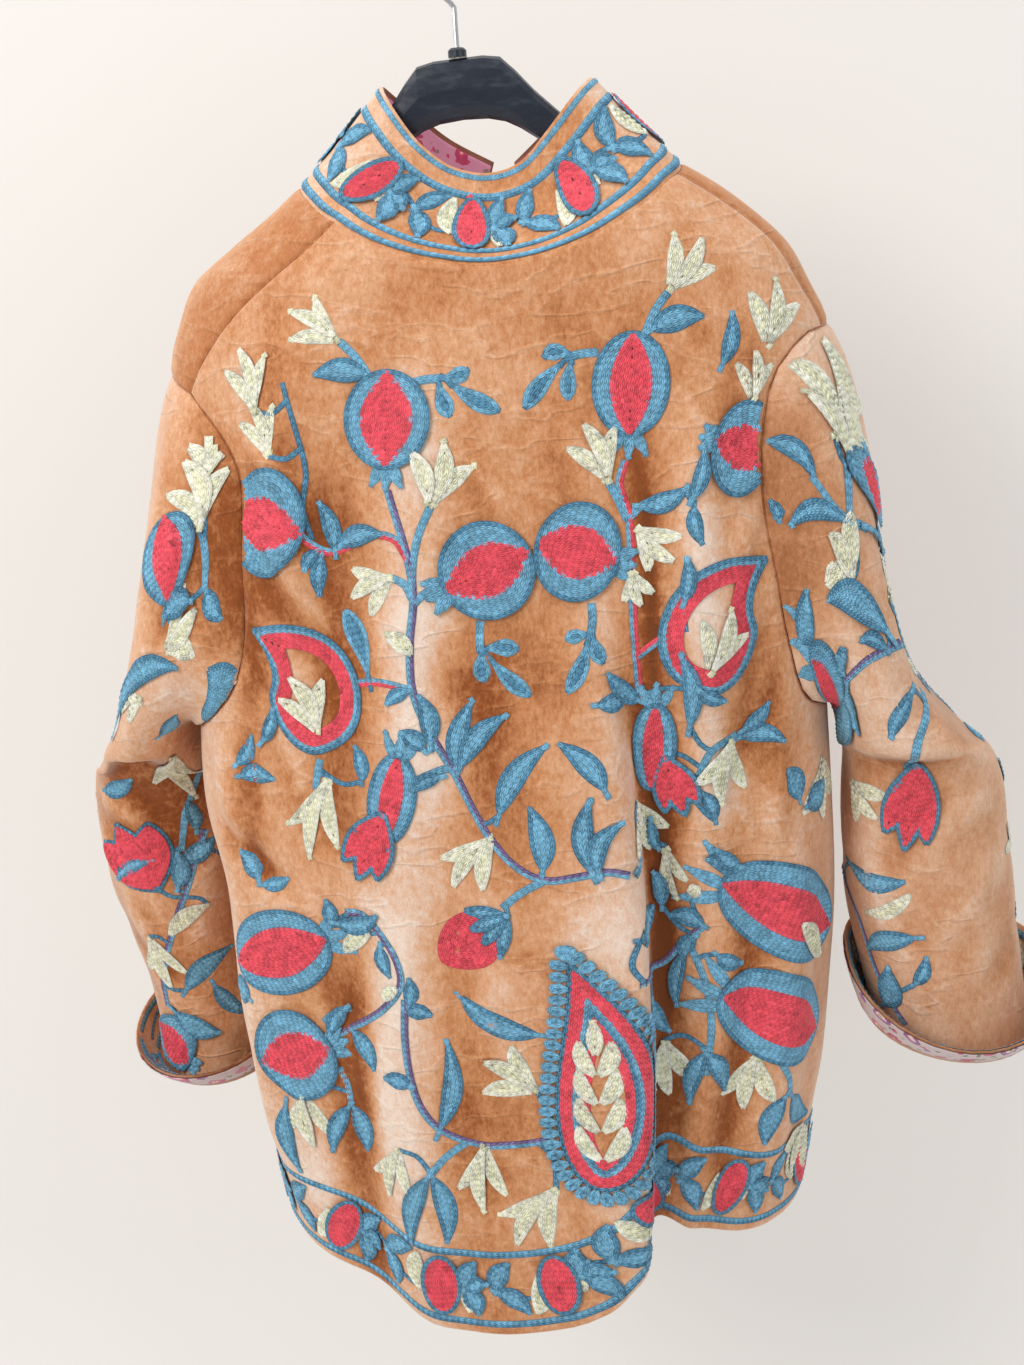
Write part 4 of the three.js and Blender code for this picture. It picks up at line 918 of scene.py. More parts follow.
def print_cloth(name, ground, palette, leaf, scale, glow=0.0):
    """Printed cotton: round flowers with a paler eye and small leaves on a plain weave. With glow above 0 it
    gives off light in its own colour: painted light.
    """
    m = Nodes(name)
    far, tint = m.cells(scale, 0.012)
    flower = m.ramp(m.channel(tint, 0), [(i / len(palette), c) for i, c in enumerate(palette)], True)
    near, other = m.cells(scale * 2.3, 0.006)
    small = m.ramp(m.channel(other, 1), [(0, leaf[0]), (0.45, leaf[1]), (0.75, palette[-1])], True)
    under = m.mix(m.span(near, 0.28, 0.32, 1, 0), ground, small)
    colour = m.mix(m.span(far, 0.4, 0.43, 1, 0), under, flower)
    colour = m.mix(m.span(far, 0.27, 0.29, 0, 0.35), colour, rgb(120, 40, 60))
    colour = m.mix(m.span(far, 0.2, 0.22, 1, 0), colour, rgb(240, 200, 190))
    colour = m.mix(m.span(far, 0.09, 0.1, 1, 0), colour, leaf[0])
    weave = m.noise(1300, 2, 0.6)
    soft = m.noise(70, 3, 0.6)
    colour = m.mix(m.span(soft, 0.3, 0.75, 0, 0.22), colour, ground)
    m.set(Base_Color=colour, Roughness=0.8, Sheen_Weight=0.15, Specular_IOR_Level=0.25,
          Emission_Color=colour, Emission_Strength=glow)
    m.set(Normal=m.bump(weave, 0.0002, 0.5, m.bump(soft, 0.0008, 0.4)))
    return m.m


def plain_lining(name, colour, dark):
    m = Nodes(name)
    m.set(Base_Color=m.mix(m.noise(60, 4, 0.6), dark, colour), Roughness=0.75, Sheen_Weight=0.15,
          Normal=m.bump(m.noise(900, 2, 0.6), 0.0002, 0.5, m.bump(m.noise(50, 3), 0.001, 0.4)))
    return m.m


def moulded_plastic(name, colour, worn):
    m = Nodes(name)
    scuff = m.noise(55, 6, 0.7, (1, 1, 3))
    colour = m.mix(m.span(scuff, 0.5, 0.75, 0, 0.5), colour, worn)
    m.set(Base_Color=colour, Roughness=m.span(scuff, 0.3, 0.7, 0.22, 0.42), Specular_IOR_Level=0.5,
          Normal=m.bump(m.noise(420, 3, 0.6), 0.00008, 0.35))
    return m.m


def drawn_steel(name, colour, dull):
    m = Nodes(name)
    marks = m.noise(900, 3, 0.7, (1, 1, 0.15))
    m.set(Base_Color=m.mix(m.span(marks, 0.35, 0.7, 0, 0.6), colour, dull), Metallic=0.85,
          Roughness=m.span(m.noise(60, 4, 0.6), 0.3, 0.7, 0.24, 0.4),
          Normal=m.bump(marks, 0.00004, 0.4))
    return m.m


def thread_material(name):
    m = Nodes(name)
    strands = m.noise(2600, 2, 0.6, (1, 1, 0.4))
    worn = m.noise(160, 3, 0.6)
    colour = m.shaded(m.read("thread", "Color"), m.span(worn, 0.3, 0.7, 0.82, 1.12))
    m.set(Base_Color=colour, Roughness=0.62, Sheen_Weight=0.25, Sheen_Roughness=0.4,
          Specular_IOR_Level=0.3, Normal=m.bump(strands, 0.0002, 0.6))
    return m.m


def backdrop_paper(name, colour, dark):
    m = Nodes(name)
    m.set(Base_Color=m.mix(m.noise(1.6, 4, 0.5), dark, colour), Roughness=0.9, Specular_IOR_Level=0.1,
          Normal=m.bump(m.noise(260, 4, 0.6), 0.0006, 0.12))
    return m.m


VELVET = velvet("velvet", rgb(150, 82, 40), rgb(202, 138, 92), rgb(223, 170, 132), rgb(241, 220, 204), 0.4)
# Darker and paler copies of the same velvet: painted shade on the fronts and their yoke, painted light on the
# right sleeve.
SHADED_YOKE_VELVET = velvet("velvet_yoke_shaded", rgb(136, 76, 40), rgb(176, 108, 64), rgb(194, 130, 86),
                     rgb(226, 184, 152), 0.35)
LIT_SLEEVE_VELVET = velvet("velvet_worn", rgb(170, 110, 70), rgb(204, 146, 106), rgb(220, 172, 138),
                      rgb(240, 216, 196), 0.45)
LINING = plain_lining("lining_inside", rgb(214, 170, 140), rgb(170, 120, 92))
PRINT = print_cloth("print_cuff", rgb(236, 226, 226),
                    [rgb(222, 110, 150), rgb(150, 90, 160), rgb(232, 150, 178), rgb(200, 60, 110)],
                    [rgb(120, 170, 100), rgb(80, 140, 110)], 58)
# The collar's lining glows (0.35): painted light, lifting it out of the shade of the back collar and the
# hanger.
COLLAR_PRINT = print_cloth("print_collar", rgb(250, 178, 206),
                           [rgb(225, 50, 80), rgb(240, 110, 150), rgb(228, 70, 100), rgb(205, 40, 90)],
                           [rgb(226, 60, 100), rgb(140, 150, 110)], 62, 0.35)
THREAD = thread_material("thread")

# ------------------------------------------------------------------ the cloth pieces

GRIDS, STREAK_SHADINGS, SLEEVES = {}, {}, {}


def body_panel(name, spots):
    spots = with_close_rows(spots)
    places = cloth(*np.moveaxis(spots, -1, 0))
    # Painted light and shade along the folds, from the streaks table.
    streak_shading = fold_out(LIT_AND_SHADED_STREAKS, *np.moveaxis(spots, -1, 0))
    GRIDS[name] = facing_out(places)
    STREAK_SHADINGS[name] = streak_shading if GRIDS[name] is places else streak_shading[:, ::-1]


body_panel("back", back_spots())
for s, word in WORDS.items():
    body_panel("front_" + word, front_spots(s))
    rings, angles = sleeve_grid(s)
    flap = turn_back(s, angles)
    SLEEVES[s] = (rings, flap, angles)
    GRIDS["sleeve_" + word] = with_close_rows(np.concatenate([rings, flap]), (False, True))
GRIDS["collar"] = facing_out(with_close_rows(collar_grid(even(COLLAR_STEPS))))


def sunk(grid, depth, closed):
    return grid - grid_normals(grid, closed) * depth


def trimmed(grid, closed, inset):
    """The grid without what lies within inset mm of its open edges, resampled along rows and columns."""
    def cut(g):
        run = run_along(g)
        at = np.linspace(inset, run[-1] - inset, len(g))
        return resample_down(g, run, at)

    grid = cut(grid)
    return grid if closed else cut(grid.transpose(1, 0, 2)).transpose(1, 0, 2)


# Painted light and shade: the fronts take the darker copy of the velvet, the right sleeve the paler one.
LIT_AND_SHADED_VELVET = {"sleeve_right": LIT_SLEEVE_VELVET, "front_left": SHADED_YOKE_VELVET, "front_right": SHADED_YOKE_VELVET}
PIECES = {}


def stands_for(name, made):
    PIECES[name] = made
    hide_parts(name)


for name, grid in GRIDS.items():
    closed = name.startswith("sleeve")
    lined = SLEEVE_LINED if closed else 1
    stands_for(name, shell(name + "_cloth", grid, closed, [LIT_AND_SHADED_VELVET.get(name, VELVET), LINING],
                           streak_shading=STREAK_SHADINGS.get(name), lined=lined))

for s, word in WORDS.items():
    rings, flap, angles = SLEEVES[s]
    covered = sunk(np.concatenate([rings[-2:], flap]), WALL + LINING_GAP, True)[CUFF_TURN_ROWS + 2:]
    grid = trimmed(covered, True, LINING_INSET)
    name = "cuff_lining_" + word
    stands_for(name, shell(name + "_cloth", grid, True, [PRINT, PRINT], LINING_THICK, LINING_SINK))
collar_inside = trimmed(sunk(GRIDS["collar"], WALL + LINING_GAP, False), False, LINING_INSET)
stands_for("collar_lining", shell("collar_lining_cloth", collar_inside, False, [COLLAR_PRINT, COLLAR_PRINT],
                                  LINING_THICK, LINING_SINK))
for piece in PIECES.values():
    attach(piece, "root")

# ------------------------------------------------------------------ chain stitch, on flat coordinates in mm

ROW, STITCH, STRAND = 2.5, 4.3, 0.54      # between rows, a stitch's length, a strand's radius
LIFT, RISE, MOST_RISES = 0.25, 0.6, 3     # above the cloth, and more for each motif underneath
UNDERLAY = 0.7                            # half width of a stitch's underlay, in rows
LINE_GAP = 0.72                           # between the lines of a vine or edge, in rows
MOST_ROWS = 99
THREADS = {
    "blue": rgb(130, 192, 224), "navy": rgb(98, 158, 192), "red": rgb(255, 92, 108),
    "cream": rgb(252, 252, 230), "straw": rgb(250, 250, 216), "plum": rgb(140, 120, 168),
}


def evenly(points, step, closed=False):
    p = np.asarray(points, float)
    if closed:
        p = np.concatenate([p, p[:1]])
    run = run_along(p)
    at = np.linspace(0, run[-1], max(1, round(run[-1] / step)) + 1)
    out = np.stack([np.interp(at, run, p[:, k]) for k in (0, 1)], -1)
    return out[:-1] if closed else out


def inside(points, outline):
    x, y = points.T
    hit = np.zeros(len(points), bool)
    for a, b in zip(outline, np.roll(outline, -1, 0)):
        crosses = (a[1] > y) != (b[1] > y)
        hit ^= crosses & (x < (b[0] - a[0]) * (y - a[1]) / (b[1] - a[1] + 1e-12) + a[0])
    return hit


def along_to_left(v):
    return np.stack([-v[..., 1], v[..., 0]], -1)


def around(spine, half):
    """The outline of a shape from its spine and its half width at each point of it."""
    across = unit(along_to_left(np.gradient(spine, axis=0))) * half[:, None]
    return np.concatenate([spine + across, (spine - across)[-2:0:-1]])


def blade(base, tip, wide, bend=0.0, widest=0.5, sharp=0.85):
    """A leaf or petal: pointed where sharp is near 1 and round where it is near 0.5."""
    base, tip = np.asarray(base, float), np.asarray(tip, float)
    t = np.linspace(0, 1, 25)
    axis = tip - base
    left = along_to_left(axis)
    spine = base + axis * t[:, None] + left * (bend * np.sin(np.pi * t))[:, None]
    half = wide / 2 * np.sin(np.pi * t ** (math.log(0.5) / math.log(widest))) ** sharp
    return around(spine, half)


def drop(base, tip, wide, bend=0.0, grow=0.0):
    """A paisley: round at its base, with a long tip that bends to the left by bend of its length."""
    base, tip = np.asarray(base, float), np.asarray(tip, float)
    axis = tip - base
    length = np.linalg.norm(axis)
    base, tip = base - axis / length * grow, tip + axis / length * grow * 1.6
    axis = tip - base
    t = np.linspace(0, 1, 49) ** 1.35
    spine = base + axis * t[:, None] - along_to_left(axis) * (bend * np.sin(np.pi * t**1.25))[:, None]
    fat = 0.37
    half = np.where(t < fat, np.sqrt(np.maximum(1 - (1 - t / fat) ** 2, 0)),
                    np.cos((t - fat) / (1 - fat) * np.pi / 2) ** 1.05) * (wide / 2 + grow)
    return around(spine, half)


def oval(centre, wide, high, turn=0.0):
    a = np.linspace(0, 2 * np.pi, 48, endpoint=False)
    x, y = wide / 2 * np.cos(a), high / 2 * np.sin(a)
    c, s = math.cos(turn), math.sin(turn)
    return np.asarray(centre) + np.stack([x * c - y * s, x * s + y * c], -1)


def inset(outline, depth):
    """Runs of the outline moved inwards by depth, without what would come too near another side."""
    p = evenly(outline, 1.3, True)
    step = np.roll(p, -1, 0) - np.roll(p, 1, 0)
    area = np.sum(p[:, 0] * np.roll(p[:, 1], -1) - p[:, 1] * np.roll(p[:, 0], -1))
    moved = p + unit(along_to_left(step)) * depth * np.sign(area)
    near = np.sqrt(nearest(moved, p))
    keep = (near > depth - 0.3) & inside(moved, p)
    if keep.all():
        return [(moved, True)]
    if not keep.any():
        return []
    first = int(np.argmin(keep))
    order = (first + np.arange(len(p))) % len(p)
    runs, now = [], []
    for i in order:
        if keep[i]:
            now.append(moved[i])
        elif now:
            runs.append(now)
            now = []
    if now:
        runs.append(now)
    return [(np.array(r), False) for r in runs if len(r) > 2]


class Sewing:
    """Stitches on one skin. What is sewn later covers what is under it."""

    def __init__(self, skin, seed):
        self.skin, self.rng = skin, np.random.default_rng(seed)
        self.a, self.b, self.colour, self.size, self.level = (np.zeros((0, k)) for k in (2, 2, 3, 1, 1))
        self.now = 0

    def add(self, path, closed, colour, size=1.0):
        p = evenly(path, STITCH * size, closed)
        if closed:
            p = np.concatenate([p, p[:1]])
        if len(p) > 1:
            self.put(p[:-1], p[1:], colour, size)

    def put(self, a, b, colour, size=1.0):
        n = len(a)
        shade = 1 + self.rng.normal(0, 0.1, (n, 1)) + self.rng.normal(0, 0.025)
        more = (a, b, np.array(THREADS[colour]) * shade, np.full((n, 1), size), np.full((n, 1), self.now))
        self.hold(np.concatenate(pair) for pair in zip(self.held(), more))

    def held(self):
        return self.a, self.b, self.colour, self.size, self.level

    def hold(self, values):
        self.a, self.b, self.colour, self.size, self.level = values

    def keep(self, those):
        self.hold(g[those] for g in self.held())

    def clear(self, outline, under=1.1):
        """Leaves out what the outline covers, but for the stitches under its edge, and rises over those."""
        self.now = 0
        if not len(self.a):
            return
        middle = (self.a + self.b) / 2
        box = np.flatnonzero(np.all((middle > outline.min(0)) & (middle < outline.max(0)), axis=1))
        box = box[inside(middle[box], outline)]
        if len(box):
            self.now = min(MOST_RISES, self.level[box].max() + 1)
            edge = evenly(outline, 1.5, True)
            near = nearest(middle[box], edge)
            those = np.ones(len(middle), bool)
            those[box[near > under * under]] = False
            self.keep(those)

    def fill(self, outline, colours):
        """Rows of stitches from the edge inwards. The last colour goes on to the middle."""
        self.clear(outline)
        first = len(self.a)
        for k in range(MOST_ROWS):
            runs = inset(outline, ROW * (k + 0.5))
            if not runs:
                break
            for path, closed in runs:
                self.add(path, closed, colours[min(k, len(colours) - 1)])
        self.patch(outline, first, colours[-1])

    def patch(self, outline, first, colour, reach=1.6):
        """Single stitches along the nearest edge, where the rows leave the middle or a tip open."""
        edge = evenly(outline, 1.4, True)
        along = unit(np.roll(edge, -1, 0) - edge)
        low, high = edge.min(0), edge.max(0)
        x, y = np.meshgrid(np.arange(low[0], high[0], 1.3), np.arange(low[1], high[1], 1.3))
        spots = np.stack([x.ravel(), y.ravel()], -1)
        spots = spots[inside(spots, edge)]
        a, b = self.a[first:], self.b[first:]
        sewn = np.concatenate([a + (b - a) * share for share in (0, 0.25, 0.5, 0.75, 1)])
        if len(sewn):
            spots = spots[nearest(spots, sewn) > reach**2]
        ends = []
        while len(spots):
            spot = spots[0]
            run = along[((edge - spot) ** 2).sum(-1).argmin()]
            ends.append((spot - run * 1.7, spot + run * 1.7))
            dots = spot + run * np.array([[-1.7], [-0.85], [0], [0.85], [1.7]])
            spots = spots[1:]
            spots = spots[nearest(spots, dots) > reach**2]
        if ends:
            ends = np.array(ends)
            self.put(ends[:, 0], ends[:, 1], colour)

    def line(self, points, colours, size=1.0, smooth_it=True):
        self.now = 0
        p = through(points, 8) if smooth_it and len(points) > 2 else np.asarray(points, float)
        left = unit(along_to_left(np.gradient(p, axis=0)))
        for k, colour in enumerate(colours):
            self.add(p + left * (k - (len(colours) - 1) / 2) * ROW * LINE_GAP * size, False, colour, size)

    def mesh(self, name):
        """Each stitch is two strands, open below, from a point out to both sides, over a flat underlay in a
        darker copy of the thread's colour: painted shade between the strands.
        """
        p0, n0 = self.skin.at(*self.a.T)
        p1, n1 = self.skin.at(*self.b.T)
        n = unit(n0 + n1)
        p0, p1 = p0 + n * RISE * self.level, p1 + n * RISE * self.level
        along = p1 - p0
        side = unit(np.cross(n, along))
        middle, beside = (self.a + self.b) / 2, unit(along_to_left(self.b - self.a)) * ROW / 2
        width = self.skin.at(*(middle + beside).T)[0] - self.skin.at(*(middle - beside).T)[0]
        stretch = np.linalg.norm(width, axis=1, keepdims=True).clip(ROW * 0.5, ROW * 2.4) / ROW
        r = STRAND * self.size * stretch
        points, faces = [], []
        for sign in (-1, 1):
            start = p0 - along * 0.1 + side * sign * 0.12 * r + n * (LIFT + 0.05)
            end = p1 + along * 0.04 + side * sign * 1.45 * r + n * (LIFT + 0.1)
            middle = start * 0.42 + end * 0.58 + side * sign * 0.3 * r + n * 0.3
            low = middle - n * r * 0.3
            points += [start, end, low + side * r, middle + n * r, low - side * r]
        for p, sign, past in ((p0, -1, -0.12), (p0, 1, -0.12), (p1, 1, 0.12), (p1, -1, 0.12)):
            points.append(p + along * past + side * sign * ROW * UNDERLAY * self.size * stretch + n * LIFT)
        count, each = len(p0), len(points)
        points = np.stack(points, 1).reshape(-1, 3)
        for base in (0, 5):
            for here in (base + 2, base + 3):
                faces += [(base, here + 1, here), (base + 1, here, here + 1)]
        faces += [(10, 11, 12), (10, 12, 13)]
        faces = (np.array(faces)[None] + each * np.arange(count)[:, None, None]).reshape(-1, 3)
        # Painted shade: the underlay takes the thread's colour darkened, for the shadow in the gaps between
        # strands.
        gap_shade = 0.34 + 0.36 * self.colour.max(1, keepdims=True)
        colours = np.stack([self.colour] * 10 + [self.colour * gap_shade] * 4, 1).reshape(-1, 3).clip(0, 1)
        made = mesh_object(name, points, faces, [THREAD], None, {"thread": colours})
        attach(made, "root")
        return made

# ------------------------------------------------------------------ motifs of the pattern
# All take the same values, foot, tip, width and bend, though some have no use for the bend.


def rib(sew, base, tip, bend, colour):
    """A line of stitches down the middle, from just before the base."""
    base, tip = np.asarray(base, float), np.asarray(tip, float)
    t = np.linspace(-0.12, 0.97, 12)[:, None]
    sew.add(base + (tip - base) * t + along_to_left(tip - base) * bend * np.sin(np.pi * t), False, colour)


def leaf(sew, base, tip, wide, bend=0.08, colours=("navy", "blue", "blue")):
    sew.fill(blade(base, tip, wide * 1.04, bend, 0.44, 0.95), colours)
    rib(sew, base, tip, bend, colours[-1])


def club(sew, base, tip, wide, bend=0.05, colours=("blue", "navy")):
    sew.fill(blade(base, tip, max(wide * 1.1, 9), bend, 0.66, 0.75), colours)
    rib(sew, base, tip, bend, colours[-1])


def at(base, tip, along, left):
    base, tip = np.asarray(base, float), np.asarray(tip, float)
    return base + (tip - base) * along + along_to_left(tip - base) * left


def flower(sew, base, tip, wide, bend=0.0):
    """A white flower from its foot: a middle petal and two that spread, in pale thread."""
    length = np.linalg.norm(np.subtract(tip, base))
    spread = 0.5 * wide / length
    for left, reach in ((spread, 0.8 - bend), (-spread, 0.8 + bend), (0.05 + bend, 1.08)):
        foot = at(base, tip, -0.02, left * 0.06)
        end, bow = at(base, tip, reach, left), 0.1 * np.sign(-left)
        sew.fill(blade(foot, end, max(7, wide * 0.27), bow, 0.55, 0.95), ("cream", "straw"))


def petal(sew, base, tip, wide, bend=0.1):
    sew.fill(blade(base, tip, wide, bend, 0.5, 0.8), ("cream", "straw"))


def pomegranate(sew, base, tip, wide, bend=0.0):
    """Blue rings round a red lens; base and tip are the lens's ends, and wide is the rings' width."""
    base, tip = np.asarray(base, float), np.asarray(tip, float)
    axis = tip - base
    length = np.linalg.norm(axis)
    turn = math.atan2(axis[1], axis[0])
    for left in (0.34, 0, -0.34):
        leaf(sew, at(base, tip, 0.06, left * 0.12), at(base, tip, -0.24 + 0.08 * abs(left), left * 0.55),
             max(6.5, wide * 0.13), 0, ("blue",))
    sew.fill(oval((base + tip) / 2, length * 1.04, wide, turn), ("navy", "blue"))
    sew.fill(blade(base, tip, wide * (0.57 + bend), 0, 0.5, 0.78), ("red",))


def tulip(sew, base, tip, wide, bend=0.0):
    """A red three-pointed flower inside blue lines."""
    length = np.linalg.norm(np.subtract(tip, base))
    for grow, colours in ((3.2, ("navy",)), (0, ("red",))):
        for left in (0.38, -0.38, 0.02):
            end = at(base, tip, 1.0 if abs(left) < 0.1 else 0.86, left * wide / length)
            foot = at(base, tip, -0.04 if grow else 0.02, 0)
            reach = foot + (end - foot) * (1 + grow / np.linalg.norm(end - foot))
            sew.fill(blade(foot, reach, wide * 0.42 + grow * 1.5, 0, 0.55, 0.85), colours)


def bud(sew, base, tip, wide, bend=0.0):
    """A red oval in a cup of blue leaves."""
    sew.fill(blade(at(base, tip, 0.1, 0), tip, wide, 0, 0.5, 0.62), ("red",))
    for left, reach in ((0.36, 0.5), (-0.36, 0.5), (0.12, 0.62), (-0.12, 0.62)):
        end = at(base, tip, reach * 0.8, left)
        sew.fill(blade(base, end, wide * 0.22, 0, 0.5, 0.8), ("navy", "blue"))


def sew_rings(sew, outline, colours):
    """Rows of stitches inside the outline, one for each colour, with open cloth in the middle."""
    sew.clear(outline)
    for k, colour in enumerate(colours):
        for path, closed in inset(outline, ROW * (k + 0.5)):
            sew.add(path, closed, colour)


def paisley(sew, base, tip, wide, bend=0.12):
    """Blue lines, a red band and open velvet with a white flower on it."""
    sew_rings(sew, drop(base, tip, wide, bend), ("navy", "blue", "red", "red", "red", "red"))
    way = -np.sign(bend)
    flower(sew, at(base, tip, 0.13, 0.05 * way), at(base, tip, 0.56, 0.1 * way), wide * 0.56)


def big_paisley(sew, base, tip, wide, bend=0.1):
    """Bands of blue and red inside a fringe of loops."""
    fringe = evenly(drop(base, tip, wide, bend, 8.5), 8.2, True)
    middle = evenly(drop(base, tip, wide, bend, 0), 1.0, True)
    for place in fringe:
        foot = middle[((middle - place) ** 2).sum(1).argmin()]
        out = unit(place - foot)
        side = along_to_left(out)
        loop = [foot, foot + out * 5.8 + side * 2.6, foot + out * 10.2, foot + out * 5.8 - side * 2.6, foot]
        sew.add(through(loop, 3), False, "blue", 1.0)
        sew.add([foot, foot + out * 8.2], False, "navy", 1.0)
    sew_rings(sew, drop(base, tip, wide, bend), ("navy", "red", "red", "red", "blue", "navy", "red", "red"))


def spike(sew, base, tip, wide, bend=0.0):
    """Pale petals in pairs up a stalk, and one at its end."""
    spread = 0.5 * wide / np.linalg.norm(np.subtract(tip, base))
    for k in range(4):
        for side in (1, -1):
            end = at(base, tip, 0.2 * k + 0.27, side * spread * (1 - 0.1 * k))
            petal(sew, at(base, tip, 0.2 * k, 0), end, wide * 0.38, 0.12 * side)
    petal(sew, at(base, tip, 0.74, 0), tip, wide * 0.36, 0)


KINDS = {"leaf": leaf, "club": club, "flower": flower, "petal": petal, "pomegranate": pomegranate,
         "tulip": tulip, "bud": bud, "paisley": paisley, "big_paisley": big_paisley, "spike": spike}
STEMMED = ("leaf", "club", "flower", "bud", "tulip", "petal")      # kinds that get a twig to the vine
LINES = {"vine": ("blue", "plum"), "stem": ("blue", "blue"), "thin": ("navy",), "red_vine": ("blue", "red")}


